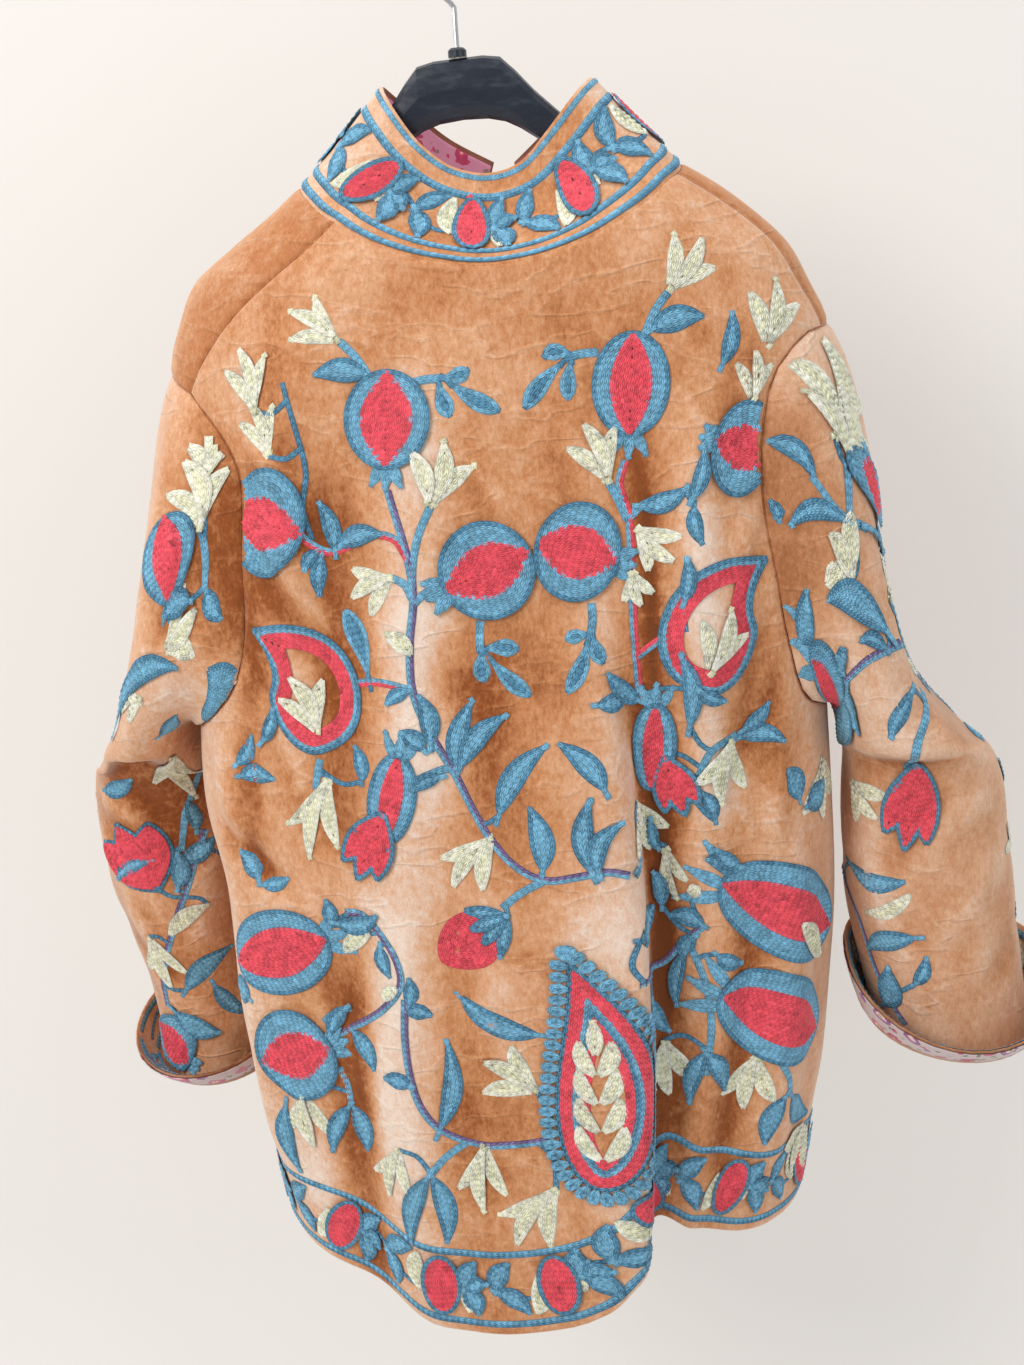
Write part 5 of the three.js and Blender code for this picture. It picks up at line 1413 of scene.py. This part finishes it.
# What is sewn on each skin, kind by kind in the order of sewing. A row is a motif: its foot, its tip, its
# width and its bend, in mm on the flat cloth, u to the right and v up.
MOTIFS = {
    "front": [
        ("pomegranate", [(-428, -330, -428, -390, 56, 0)]),
        ("flower", [
            (-428, -420, -458, -465, 38, 0), (-403, -300, -383, -258, 38, 0),
        ]),
        ("leaf", [(-428, -470, -398, -510, 15, 0.1)]),
        ("pomegranate", [(-388, -560, -448, -560, 56, 0)]),
        ("tulip", [(-438, -640, -458, -690, 36, 0)]),
        ("leaf", [(-428, -620, -388, -650, 15, 0.1)]),
        ("flower", [(-398, -700, -378, -745, 38, 0)]),
        ("pomegranate", [(-458, -740, -458, -795, 52, 0)]),
        ("leaf", [(-358, -640, -338, -600, 15, 0.1)]),
        ("paisley", [(-358, -520, -328, -440, 50, 0.1)]),
        ("leaf", [(-378, -780, -348, -810, 15, 0.1)]),
    ],
    "body": [
        ("pomegranate", [
            (-60, -327, -56, -268, 56, 0.06), (94, -315, 98, -254, 48, -0.04),
            (-26, -406, 28, -383, 63, -0.02), (84, -393, 34, -378, 63, -0.02),
            (-170, -353, -120, -367, 72, -0.08), (146, -322, 184, -335, 60, -0.08),
            (-128, -646, -206, -675, 62, 0), (-134, -728, -190, -748, 69, -0.05),
            (150, -618, 264, -676, 66, -0.05), (147, -698, 248, -751, 66, -0.02),
            (-63, -513, -78, -573, 33, -0.12), (106, -488, 101, -547, 32, -0.12),
        ]),
        ("tulip", [
            (-76, -552, -99, -598, 35, 0), (111, -524, 124, -565, 30, 0),
        ]),
        ("petal", [(210, -654, 249, -694, 19, 0)]),
        ("bud", [(1, -624, -45, -658, 40, 0)]),
        ("paisley", [
            (-117, -513, -164, -430, 66, 0.2), (138, -482, 183, -398, 65, -0.2),
        ]),
        ("big_paisley", [(49, -824, 35, -654, 59, 0.07)]),
        ("spike", [(49, -802, 48, -698, 24, 0)]),
        ("flower", [
            (-88, -248, -118, -228, 32, 0), (-138, -317, -149, -283, 32, 0),
            (-146, -289, -155, -250, 34, 0), (-32, -352, -21, -315, 42, 0), (-60, -397, -90, -409, 36, 0),
            (120, -230, 142, -202, 36, 0), (80, -343, 67, -307, 35, 0), (97, -373, 119, -395, 33, 0),
            (93, -400, 98, -422, 23, 0), (172, -301, 175, -270, 27, 0), (182, -268, 192, -231, 40, 0),
            (-115, -530, -135, -583, 41, 0), (-6, -571, -34, -603, 38, 0), (156, -516, 148, -557, 40, 0),
            (86, -554, 98, -590, 41, 0), (245, -546, 245, -587, 58, 0), (-159, -768, -158, -810, 43, 0),
            (-85, -799, -98, -838, 35, 0), (13, -751, -20, -731, 44, 0), (-24, -792, -30, -841, 37, 0),
            (21, -823, -8, -867, 41, 0), (178, -752, 167, -791, 48, 0), (247, -834, 221, -860, 58, 0),
            (105, -732, 107, -771, 48, 0), (111, -590, 117, -626, 23, 0),
        ]),
        ("petal", [
            (-50, -447, -67, -433, 12, -0.1), (-93, -639, -116, -656, 12, -0.1),
            (128, -617, 134, -626, 10, -0.1), (-76, -676, -88, -688, 9, -0.1),
        ]),
        ("leaf", [
            (-69, -270, -106, -268, 14, -0.1), (109, -253, 143, -247, 15, 0.1),
            (-100, -380, -109, -346, 11, -0.08), (-98, -377, -64, -369, 13, 0.12),
            (-111, -378, -120, -392, 8, -0.1), (-109, -382, -112, -409, 9, -0.05),
            (99, -359, 129, -349, 12, -0.12), (131, -357, 139, -326, 9, -0.08),
            (132, -361, 137, -386, 9, -0.08), (153, -277, 160, -244, 10, -0.1),
            (125, -421, 127, -392, 9, -0.08), (-27, -524, -13, -478, 13, 0.08),
            (-24, -523, 9, -488, 13, 0.1), (-42, -507, -48, -472, 12, -0.1),
            (-46, -510, -62, -497, 12, -0.1), (-36, -528, -57, -538, 9, -0.1),
            (-1, -556, 33, -508, 14, 0.1), (62, -540, 38, -507, 13, -0.1),
            (24, -594, 18, -549, 14, -0.08), (52, -595, 54, -544, 11, 0.1), (55, -594, 70, -561, 10, 0.2),
            (-91, -532, -95, -507, 10, -0.1), (63, -484, 87, -477, 12, -0.1),
            (96, -485, 71, -463, 13, 0.1), (128, -504, 122, -453, 11, -0.1),
            (162, -516, 197, -523, 12, 0.15), (165, -511, 185, -493, 11, -0.1),
            (-188, -526, -172, -503, 11, -0.1), (-186, -534, -156, -534, 13, 0.1),
            (-164, -508, -152, -482, 9, -0.1), (-55, -782, -46, -713, 13, -0.1),
            (-72, -748, -93, -746, 12, -0.1), (17, -710, -38, -680, 15, 0.12),
            (-72, -693, -54, -697, 11, 0.1), (-70, -689, -68, -668, 10, -0.1),
            (-65, -817, -82, -874, 14, -0.1), (-63, -817, -57, -872, 14, 0.1),
            (-126, -776, -141, -813, 12, -0.1), (-124, -776, -115, -811, 17, 0.1),
            (-176, -781, -172, -837, 13, -0.1), (-119, -698, -134, -721, 11, -0.1),
            (-117, -716, -101, -744, 15, 0.1), (-124, -636, -125, -616, 11, -0.1),
            (-119, -633, -86, -624, 13, -0.15), (-87, -647, -81, -670, 11, -0.1),
            (135, -740, 123, -780, 12, -0.1), (135, -740, 150, -775, 14, 0.1),
            (136, -647, 111, -640, 13, -0.1), (130, -655, 119, -671, 11, -0.1),
            (95, -700, 111, -727, 12, -0.1), (123, -666, 116, -709, 10, -0.1),
            (162, -611, 137, -598, 13, -0.1), (164, -607, 144, -590, 11, 0.1),
            (201, -787, 185, -825, 18, -0.1), (209, -790, 253, -828, 20, -0.1),
            (214, -567, 198, -542, 18, -0.1), (221, -573, 244, -559, 20, -0.1),
            (145, -571, 134, -549, 10, -0.1), (100, -570, 107, -593, 10, -0.1),
            (107, -633, 99, -606, 13, -0.1), (144, -668, 167, -679, 11, -0.1),
            (-180, -609, -199, -591, 12, -0.1), (-177, -612, -153, -604, 9, -0.1),
            (-197, -702, -219, -698, 22, -0.1), (74, -642, 101, -632, 22, -0.1),
            (-53, -470, -70, -480, 9, -0.1), (134, -479, 152, -488, 9, -0.1),
        ]),
        ("club", [
            (-24, -274, -4, -269, 9, -0.1), (-24, -275, -17, -298, 10, -0.05),
            (-19, -275, 15, -296, 10, -0.05), (61, -265, 42, -263, 9, -0.1),
            (60, -266, 57, -292, 9, -0.05), (56, -267, 29, -296, 10, -0.05),
            (-81, -465, -97, -417, 14, -0.05), (-5, -445, 19, -446, 10, 0.05),
            (-5, -445, -5, -467, 10, -0.05), (-1, -450, 25, -477, 10, -0.05),
            (64, -438, 48, -441, 8, -0.05), (65, -438, 70, -458, 9, -0.05), (63, -439, 46, -476, 9, 0.05),
        ]),
    ],
    "sleeve_left": [
        ("flower", [
            (-64, -15, -95, -2, 21, 0), (-35, -28, -80, -18, 37, 0), (3, -81, 9, -42, 48, 0),
            (-1, -127, -18, -147, 26, 0), (35, -195, 40, -271, 51, 0), (-15, -393, -12, -439, 41, 0),
        ]),
        ("pomegranate", [(-17, -66, -62, -45, 47, -0.05)]),
        ("tulip", [(4, -349, -20, -297, 64, 0)]),
        ("petal", [(39, -367, 2, -392, 13, -0.1)]),
        ("pomegranate", [(-9, -508, -41, -484, 66, 0)]),
        ("leaf", [
            (2, -29, 30, -19, 13, -0.1), (-1, -45, -14, -76, 16, -0.1), (-24, -159, 22, -74, 14, 0.1),
            (132, -1, 52, -39, 35, -0.1), (22, -159, 36, -109, 22, -0.1), (25, -327, 54, -313, 14, -0.1),
            (19, -349, 23, -319, 14, -0.1), (-31, -265, -1, -250, 16, -0.1), (1, -443, 48, -412, 15, 0.1),
            (24, -441, 46, -476, 12, -0.1), (41, -305, 36, -277, 11, -0.1),
            (67, -330, 61, -295, 15, -0.1), (2, -325, -32, -344, 10, -0.1),
            (-13, -462, 22, -483, 18, -0.1),
        ]),
    ],
    "sleeve_right": [
        ("flower", [
            (71, -34, 132, -7, 40, 0), (67, -47, 104, -23, 38, 0), (14, -79, 19, -49, 58, 0),
            (36, -107, 71, -90, 22, 0), (-64, -235, -42, -260, 44, 0), (-18, -227, -6, -244, 20, 0),
        ]),
        ("pomegranate", [
            (92, -48, 72, -71, 47, -0.1), (-78, -32, -70, -171, 74, -0.05),
        ]),
        ("tulip", [(-7, -211, -24, -281, 37, 0)]),
        ("petal", [(-19, -313, -58, -338, 10, 0.1)]),
        ("leaf", [
            (53, -2, 41, -30, 12, 0.1), (37, -58, 0, -14, 10, -0.1), (48, -72, 84, -90, 6, -0.1),
            (20, -117, -19, -53, 18, -0.1), (-76, -14, -32, -26, 19, -0.1),
            (-31, -116, -35, -181, 26, -0.1), (-32, -97, -35, -80, 22, -0.1),
            (-72, -304, -22, -305, 14, -0.12), (-20, -348, -63, -371, 14, -0.1),
            (-56, -415, -44, -376, 19, -0.1), (-26, -386, -14, -361, 9, -0.1),
            (-78, -201, -39, -128, 24, -0.1), (14, -123, -3, -101, 8, -0.1),
            (21, -150, -11, -178, 9, -0.1), (3, -8, 16, -3, 8, -0.1),
        ]),
    ],
}
# Vines and stems in the same way: the kind of line and the places it goes through.
VINES = {
    "front": [
        ("vine", [
            (-428, -395), (-438, -440), (-420, -500), (-433, -560), (-428, -620), (-436, -700),
            (-458, -740),
        ]),
    ],
    "body": [
        ("vine", [
            (-60, -342), (-56, -357), (-49, -385), (-47, -411), (-51, -440), (-51, -470), (-44, -493),
            (-36, -510), (-27, -528), (-19, -548), (-9, -569), (7, -590), (25, -600), (45, -597),
            (60, -594), (70, -597),
        ]),
        ("red_vine", [(-51, -470), (-73, -465), (-96, -467)]),
        ("red_vine", [
            (-49, -385), (-56, -373), (-70, -369), (-90, -376), (-104, -380), (-114, -375), (-121, -368),
        ]),
        ("stem", [(-47, -405), (-46, -389), (-41, -370), (-32, -352)]),
        ("stem", [(-48, -410), (-52, -401), (-60, -397)]),
        ("stem", [(-26, -406), (-37, -406), (-47, -414)]),
        ("stem", [(25, -600), (10, -609), (-2, -619)]),
        ("red_vine", [
            (91, -331), (87, -344), (92, -364), (93, -393), (93, -425), (94, -454), (96, -485),
        ]),
        ("red_vine", [(94, -456), (110, -445), (128, -440)]),
        ("stem", [(92, -367), (99, -360), (112, -355), (130, -352)]),
        ("stem", [(80, -343), (86, -355), (91, -367)]),
        ("stem", [(120, -231), (112, -241), (105, -256)]),
        ("stem", [(-87, -248), (-77, -258), (-69, -270)]),
        ("thin", [(-125, -272), (-118, -301), (-114, -327), (-118, -352), (-114, -371)]),
        ("stem", [(-42, -276), (-32, -274), (-23, -274)]),
        ("stem", [(76, -264), (68, -264), (60, -265)]),
        ("stem", [(-5, -427), (-6, -436), (-6, -447)]),
        ("stem", [(66, -419), (66, -428), (64, -438)]),
        ("stem", [(-55, -531), (-43, -526), (-32, -523), (-27, -526)]),
        ("vine", [
            (-72, -685), (-74, -714), (-72, -744), (-66, -766), (-55, -782), (-35, -792), (-7, -792),
            (18, -787),
        ]),
        ("vine", [
            (-128, -720), (-106, -707), (-87, -692), (-74, -674), (-76, -656), (-88, -636), (-99, -625),
            (-111, -625),
        ]),
        ("stem", [(-38, -793), (-53, -804), (-64, -817)]),
        ("stem", [(-130, -746), (-126, -760), (-125, -776)]),
        ("stem", [(-137, -710), (-129, -703), (-117, -699)]),
        ("vine", [(73, -673), (106, -675), (122, -659), (136, -647)]),
        ("stem", [(126, -662), (136, -690), (139, -723), (134, -757)]),
        ("stem", [(195, -757), (204, -774), (206, -789)]),
        ("stem", [(160, -513), (142, -522), (134, -538), (128, -556)]),
        ("stem", [(-120, -518), (-123, -528), (-125, -538)]),
        ("stem", [(74, -598), (82, -588), (79, -573)]),
    ],
    "sleeve_left": [
        ("vine", [(-21, -461), (-15, -430), (4, -391), (23, -356), (36, -329), (48, -306)]),
        ("stem", [(69, -216), (39, -278), (27, -320)]),
        ("stem", [(3, -30), (-15, -26), (-31, -26)]),
    ],
    "sleeve_right": [
        ("vine", [(-51, -100), (-9, -113), (14, -123), (75, -141), (75, -150), (81, -162)]),
        ("stem", [(40, -28), (36, -46), (39, -61), (48, -72)]),
        ("stem", [(39, -61), (53, -53), (66, -44)]),
        ("vine", [(-99, -318), (-71, -342), (-60, -378), (-47, -410), (-39, -423)]),
        ("stem", [(81, -96), (42, -114), (33, -132)]),
        ("stem", [(39, -154), (7, -179), (-11, -212)]),
    ],
}
MOTIFS["front_mirrored"] = [
    (kind, [(-u0, v0, -u1, v1, wide, -bend) for u0, v0, u1, v1, wide, bend in rows])
    for kind, rows in MOTIFS["front"]
]
VINES["front_mirrored"] = [(kind, [(-u, v) for u, v in points]) for kind, points in VINES["front"]]
COLLAR_PITCH, COLLAR_PHASE = 72, 30
CUFF_PITCH, CUFF_PHASE = 76, 20
EDGING = ("navy", "blue")


def flat_of(line):
    """(q, z) places of the body as flat coordinates."""
    line = np.asarray(line, float)
    t = np.linspace(0, 1, 60)[:, None]
    p = body(line[None, :, 0] * t, line[None, :, 1] + 0 * t)
    arc = np.linalg.norm(np.diff(p, axis=0), axis=-1).sum(0)
    return np.stack([-arc * np.sign(line[:, 0]), line[:, 1]], -1)


def border(sew, rail, high, pitch, phase):
    """A running border along a rail: red fruits between white petals, and sprays of leaves."""
    rail = evenly(rail, 2)
    run = np.arange(len(rail)) * np.linalg.norm(np.diff(rail, axis=0), axis=1).mean()
    out = unit(along_to_left(np.gradient(rail, axis=0)))

    def spot(s, h):
        return np.array([np.interp(s, run, rail[:, k]) + h * high * np.interp(s, run, out[:, k])
                         for k in (0, 1)])

    wave = [spot(s, 0.17 * math.sin(2 * math.pi * (s - phase) / pitch))
            for s in np.arange(4, run[-1] - 4, 6)]
    sew.line(wave, ("navy",), smooth_it=False)
    s, side = phase, 1
    while s < run[-1] - pitch * 0.3:
        if s > pitch * 0.3:
            w = min(pitch * 0.17, high * 0.3)
            for along, h0, h1 in ((0.16, -0.2, 0.42), (-0.16, 0.2, -0.42)):
                foot, end = (spot(s + along * pitch * far, h * side) for far, h in ((0.9, h0), (1.6, h1)))
                petal(sew, foot, end, w)
            for along, h in ((0.32, 0.44), (0.4, -0.08), (0.3, -0.44), (0.7, 0.42), (0.64, -0.42)):
                foot = spot(s + 0.46 * pitch if along > 0.5 else s + 0.2 * pitch, 0.03 * side)
                leaf(sew, foot, spot(s + along * pitch, h * side), w, 0.12)
            lean = 0.07 * pitch * side
            low, top = spot(s - lean, -0.46), spot(s + lean, 0.46)
            turn = math.atan2(*(top - low)[::-1])
            sew.fill(oval((low + top) / 2, np.linalg.norm(top - low), min(pitch * 0.32, high * 0.66), turn),
                     ("navy", "red"))
        s, side = s + pitch, -side


def within(places, outline, margin):
    ring = evenly(outline, 1.5, True)
    ok = np.ones(len(places), bool)
    for i in range(0, len(places), 500):
        ok[i:i + 500] = nearest(places[i:i + 500], ring) > margin**2
    return ok & inside(places, ring)


SEWN = {}
SEAM_MARGIN = 3.5            # mm without stitches on each side of a seam


def seam_cords(deep=1.6, radius=1.0, sides=6):
    """The folded edges that close the gap between two panels, just under the face of the cloth, in velvet set
    darker than the cloth round them: painted shade in the gap.
    """
    turn = np.arange(sides) / sides * 2 * np.pi
    points, faces, count = [], [], 0
    for side in SIDES:
        for key in ("shoulder", "arm_back", "arm_front", "side"):
            q, z = np.asarray(SEAMS[side][key], float).T
            middle, normal = cloth(q, z), body_frame(q, z)[1]
            across = unit(np.cross(np.gradient(middle, axis=0), normal))
            ring = np.cos(turn)[:, None] * across[:, None] + np.sin(turn)[:, None] * normal[:, None]
            points.append(((middle - normal * deep)[:, None] + radius * ring).reshape(-1, 3))
            index = count + np.arange(len(q) * sides).reshape(-1, sides)
            after = np.roll(index, -1, 1)
            faces.append(np.stack([index[:-1], after[:-1], after[1:], index[1:]], -1).reshape(-1, 4))
            count += len(q) * sides
    points = np.concatenate(points)
    made = mesh_object("seam_allowances", points, np.concatenate(faces), [VELVET], None,
                       {"relief_shading": np.full(len(points), -1.5), "streak_shading": np.full(len(points), -0.06)})
    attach(made, "root")
    SEWN.setdefault("back", []).append(made)


def sew_on(name, sew, keep, what="stitches"):
    part = Sewing(sew.skin, 0)
    part.hold(g[keep] for g in sew.held())
    if len(part.a):
        made = part.mesh(f"{name}_{what}")
        SEWN.setdefault(name, []).append(made)


def twig(sew, sewn, foot, tip):
    """A line from a motif's foot to the nearest vine, where that is near and doesn't yet reach it."""
    far = np.linalg.norm(sewn - foot, axis=1) if len(sewn) else np.array([99.0])
    if 4 < far.min() < 38:
        back = foot - unit(tip - foot) * far.min() * 0.4
        sew.line([foot, (back + sewn[far.argmin()]) / 2, sewn[far.argmin()]], ("navy",))


def sew_table(sew, name):
    first = len(sew.a)
    for kind, points in VINES[name]:
        sew.line(points, LINES[kind])
    sewn = ((sew.a + sew.b) / 2)[first:]
    for kind, rows in MOTIFS[name]:
        for u0, v0, u1, v1, wide, bend in rows:
            if kind in STEMMED:
                twig(sew, sewn, np.array([u0, v0]), np.array([u1, v1]))
            KINDS[kind](sew, (u0, v0), (u1, v1), wide, bend)


# The body: its hem border first, then the tables, split into its panels.
HEM_LINES, HEM_MIDDLE, HEM_HIGH, HEM_PITCH, HEM_PHASE = (9, 64), 37, 50, 84, 30
on_body = Sewing(body_skin(), 11)
q = np.linspace(-FRONT_EDGE, FRONT_EDGE, 500)[::-1]
rails = {up: flat_of(np.stack([q, hem_z(q) + up], -1)) for up in (*HEM_LINES, HEM_MIDDLE)}
for up in HEM_LINES:
    on_body.line(rails[up], EDGING, smooth_it=False)
border(on_body, rails[HEM_MIDDLE], HEM_HIGH, HEM_PITCH, HEM_PHASE)
for side in SIDES:
    edge = flat_of([(side * (FRONT_EDGE - 0.03), z) for z in np.arange(-232, -846, -8)])
    on_body.line(edge, EDGING, smooth_it=False)
    sew_table(on_body, "front" if side > 0 else "front_mirrored")
sew_table(on_body, "body")
outlines = {
    "back": [SEAMS[-1]["shoulder"], SEAMS[-1]["arm_back"], SEAMS[-1]["side"],
             [(v, hem_z(v)) for v in np.linspace(-1, 1, 120)], SEAMS[1]["side"][::-1],
             SEAMS[1]["arm_back"][::-1], SEAMS[1]["shoulder"][::-1], along_seam(NECK_BACK, even(40))[::-1]],
}
for side, word in WORDS.items():
    seams, hem = SEAMS[side], np.linspace(side, side * FRONT_EDGE, 60)
    outlines["front_" + word] = [
        seams["shoulder"][::-1], seams["neck"], [(side * FRONT_EDGE, z) for z in range(-230, -900, -10)],
        np.stack([hem, hem_z(hem)], -1)[::-1], seams["side"][::-1], seams["arm_front"][::-1]]
seam_cords()
middles = (on_body.a + on_body.b) / 2
for name, lines in outlines.items():
    outline = flat_of(np.concatenate([np.asarray(v, float) for v in lines]))
    sew_on(name, on_body, within(middles, outline, SEAM_MARGIN))


def spray(sew, u, top, low, lean):
    """A vine down a stretch that the table leaves plain, with fruits, flowers and leaves on both sides."""
    pitch = 74
    steps = int((top - low) // pitch)
    sew.line([(u + lean * 9 * (-1) ** k, top - k * pitch / 2) for k in range(2 * steps + 1)], LINES["vine"])
    for k in range(steps):
        v, way = top - pitch * k - 20, lean * (-1) ** k
        if k % 2:
            flower(sew, (u + way * 14, v), (u + way * 38, v + 26), 36)
        else:
            pomegranate(sew, (u + way * 16, v), (u + way * 58, v + 8), 46, 0.08)
        leaf(sew, (u - way * 6, v - 16), (u - way * 32, v + 6), 13, 0.12)
        leaf(sew, (u + way * 6, v - 40), (u + way * 30, v - 54), 12, -0.12)


for side, word in WORDS.items():
    name = "sleeve_" + word
    rings, flap, angles = SLEEVES[side]
    cloth_skin = sleeve_skin(side, rings, angles)
    sew = Sewing(cloth_skin, 21 + side)
    spray(sew, -104 * side, -60, cloth_skin.v0 + 20, -side)
    sew_table(sew, name)
    middles = (sew.a + sew.b) / 2
    low = cloth_skin.v0 + 1
    half = np.interp(middles[:, 1], cloth_skin.v0 + np.arange(len(cloth_skin.half)) * 3, cloth_skin.half)
    sew_on(name, sew, (np.abs(middles[:, 0]) < half) & (middles[:, 1] > low) & (middles[:, 1] < -4))
    turned = strip_skin(np.concatenate([flap[4:], flap[4:]], 1)[:, :len(angles) + 1], True)
    sew = Sewing(turned, 31 + side)
    length, top = turned.du * (turned.p.shape[1] - 2), turned.dv * (turned.p.shape[0] - 1)
    ends = np.array([turned.u0 + 2, turned.u0 + length])
    for up in (5, top - 5):
        sew.line(np.stack([ends, [up, up]], -1), EDGING, smooth_it=False)
    border(sew, np.stack([ends, [top / 2, top / 2]], -1), top * 0.62, CUFF_PITCH, CUFF_PHASE)
    sew_on(name, sew, np.ones(len(sew.a), bool), "cuff_stitches")

on_collar = strip_skin(GRIDS["collar"], True)
sew = Sewing(on_collar, 41)
top = on_collar.dv * (on_collar.p.shape[0] - 1)
ends = np.array([on_collar.u0 + 3, -on_collar.u0 - 3])
for up in (4.5, 15, top - 17, top - 4):
    sew.line(np.stack([ends, [up, up]], -1), EDGING if up < top - 5 else EDGING[1:], smooth_it=False)
border(sew, np.stack([ends, [(top - 2) / 2, (top - 2) / 2]], -1), top - 29, COLLAR_PITCH, COLLAR_PHASE)
sew_on("collar", sew, (sew.a[:, 0] > ends[0]) & (sew.b[:, 0] < ends[1]))

# ------------------------------------------------------------------ the hanger keeps its solids

for node, finish in (
    ("hanger_body", moulded_plastic("plastic_dark", rgb(30, 37, 50), rgb(70, 80, 96))),
    ("hanger_boss", moulded_plastic("plastic_boss", rgb(36, 42, 54), rgb(84, 92, 106))),
    ("hanger_hook", drawn_steel("steel_wire", rgb(205, 208, 210), rgb(150, 152, 155))),
):
    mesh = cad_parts[node].data
    mesh.materials.clear()
    mesh.materials.append(finish)

# ------------------------------------------------------------------ backdrop, light and camera

paper = backdrop_paper("backdrop_paper", rgb(194, 191, 186), rgb(188, 185, 180))
wall_y, floor_z, bend = -0.24, -1.5, 0.35
profile = [(wall_y, 2.4), (wall_y, floor_z + bend)]
for k in range(1, 13):
    turn = k / 12 * math.pi / 2
    profile.append((wall_y + bend * (1 - math.cos(turn)), floor_z + bend * (1 - math.sin(turn))))
profile.append((2.6, floor_z))
across = np.linspace(-4, 4, 9)
points = np.array([(x, y, z) for y, z in profile for x in across]) * 1000
grid_at = np.arange(len(points)).reshape(len(profile), len(across))
faces = np.stack([grid_at[:-1, :-1], grid_at[:-1, 1:], grid_at[1:, 1:], grid_at[1:, :-1]], -1).reshape(-1, 4)
PAPER_GLOW = 0.37            # keeps the paper even, without a bright patch under the lights
glow = paper.node_tree.nodes["Principled BSDF"].inputs
glow["Emission Color"].default_value = (*rgb(250, 247, 243), 1)
glow["Emission Strength"].default_value = PAPER_GLOW
backdrop = mesh_object("backdrop", points, faces[:, ::-1], [paper])

CAMERA_AT = Vector((-0.145952, 0.989291, -0.209195))
YAW, PITCH, ROLL, LENS_PX, HEIGHT_PX = math.radians(8), math.radians(16), math.radians(4), 1450, 1365
forward = Vector((math.sin(YAW) * math.cos(PITCH), -math.cos(YAW) * math.cos(PITCH), -math.sin(PITCH)))
right = forward.cross(Vector((0, 0, 1))).normalized()
up = right.cross(forward)
tilted_right = right * math.cos(ROLL) - up * math.sin(ROLL)
tilted_up = up * math.cos(ROLL) + right * math.sin(ROLL)
camera = bpy.data.objects.new("camera", bpy.data.cameras.new("camera"))
bpy.context.scene.collection.objects.link(camera)
camera.data.sensor_fit = "AUTO"
camera.data.sensor_width = 36
camera.data.lens = 36 * LENS_PX / HEIGHT_PX
camera.data.clip_start = 0.02
turned = Matrix((tilted_right, tilted_up, -forward)).transposed()
camera.matrix_world = Matrix.Translation(CAMERA_AT) @ turned.to_4x4()
bpy.context.scene.camera = camera


def soft_light(name, at, aim, size, power, colour):
    light = bpy.data.lights.new(name, "AREA")
    light.shape, light.size, light.size_y = "RECTANGLE", size[0], size[1]
    light.energy, light.color = power, colour
    made = bpy.data.objects.new(name, light)
    made.location = at
    made.rotation_euler = (Vector(aim) - Vector(at)).to_track_quat("-Z", "Y").to_euler()
    bpy.context.scene.collection.objects.link(made)


soft_light("key_left", (1.5, 1.7, 0.9), (0, 0, -0.5), (1.1, 1.1), 38, (1, 0.97, 0.93))
soft_light("fill_right", (-1.9, 1.4, 0.1), (0, 0, -0.5), (1.5, 1.8), 10, (0.95, 0.97, 1))
soft_light("top_wash", (0.1, 0.3, 1.6), (0, -0.1, -0.5), (1.8, 1.2), 9, (1, 1, 1))
soft_light("wall_wash", (0.0, 0.6, 1.9), (0, -0.6, -0.6), (2.6, 0.8), 10, (1, 0.99, 0.97))
world = bpy.data.worlds.new("studio")
world.use_nodes = True
world.node_tree.nodes["Background"].inputs["Color"].default_value = (0.93, 0.94, 0.96, 1)
world.node_tree.nodes["Background"].inputs["Strength"].default_value = 0.42
bpy.context.scene.world = world
bpy.context.scene.view_settings.view_transform = "Standard"
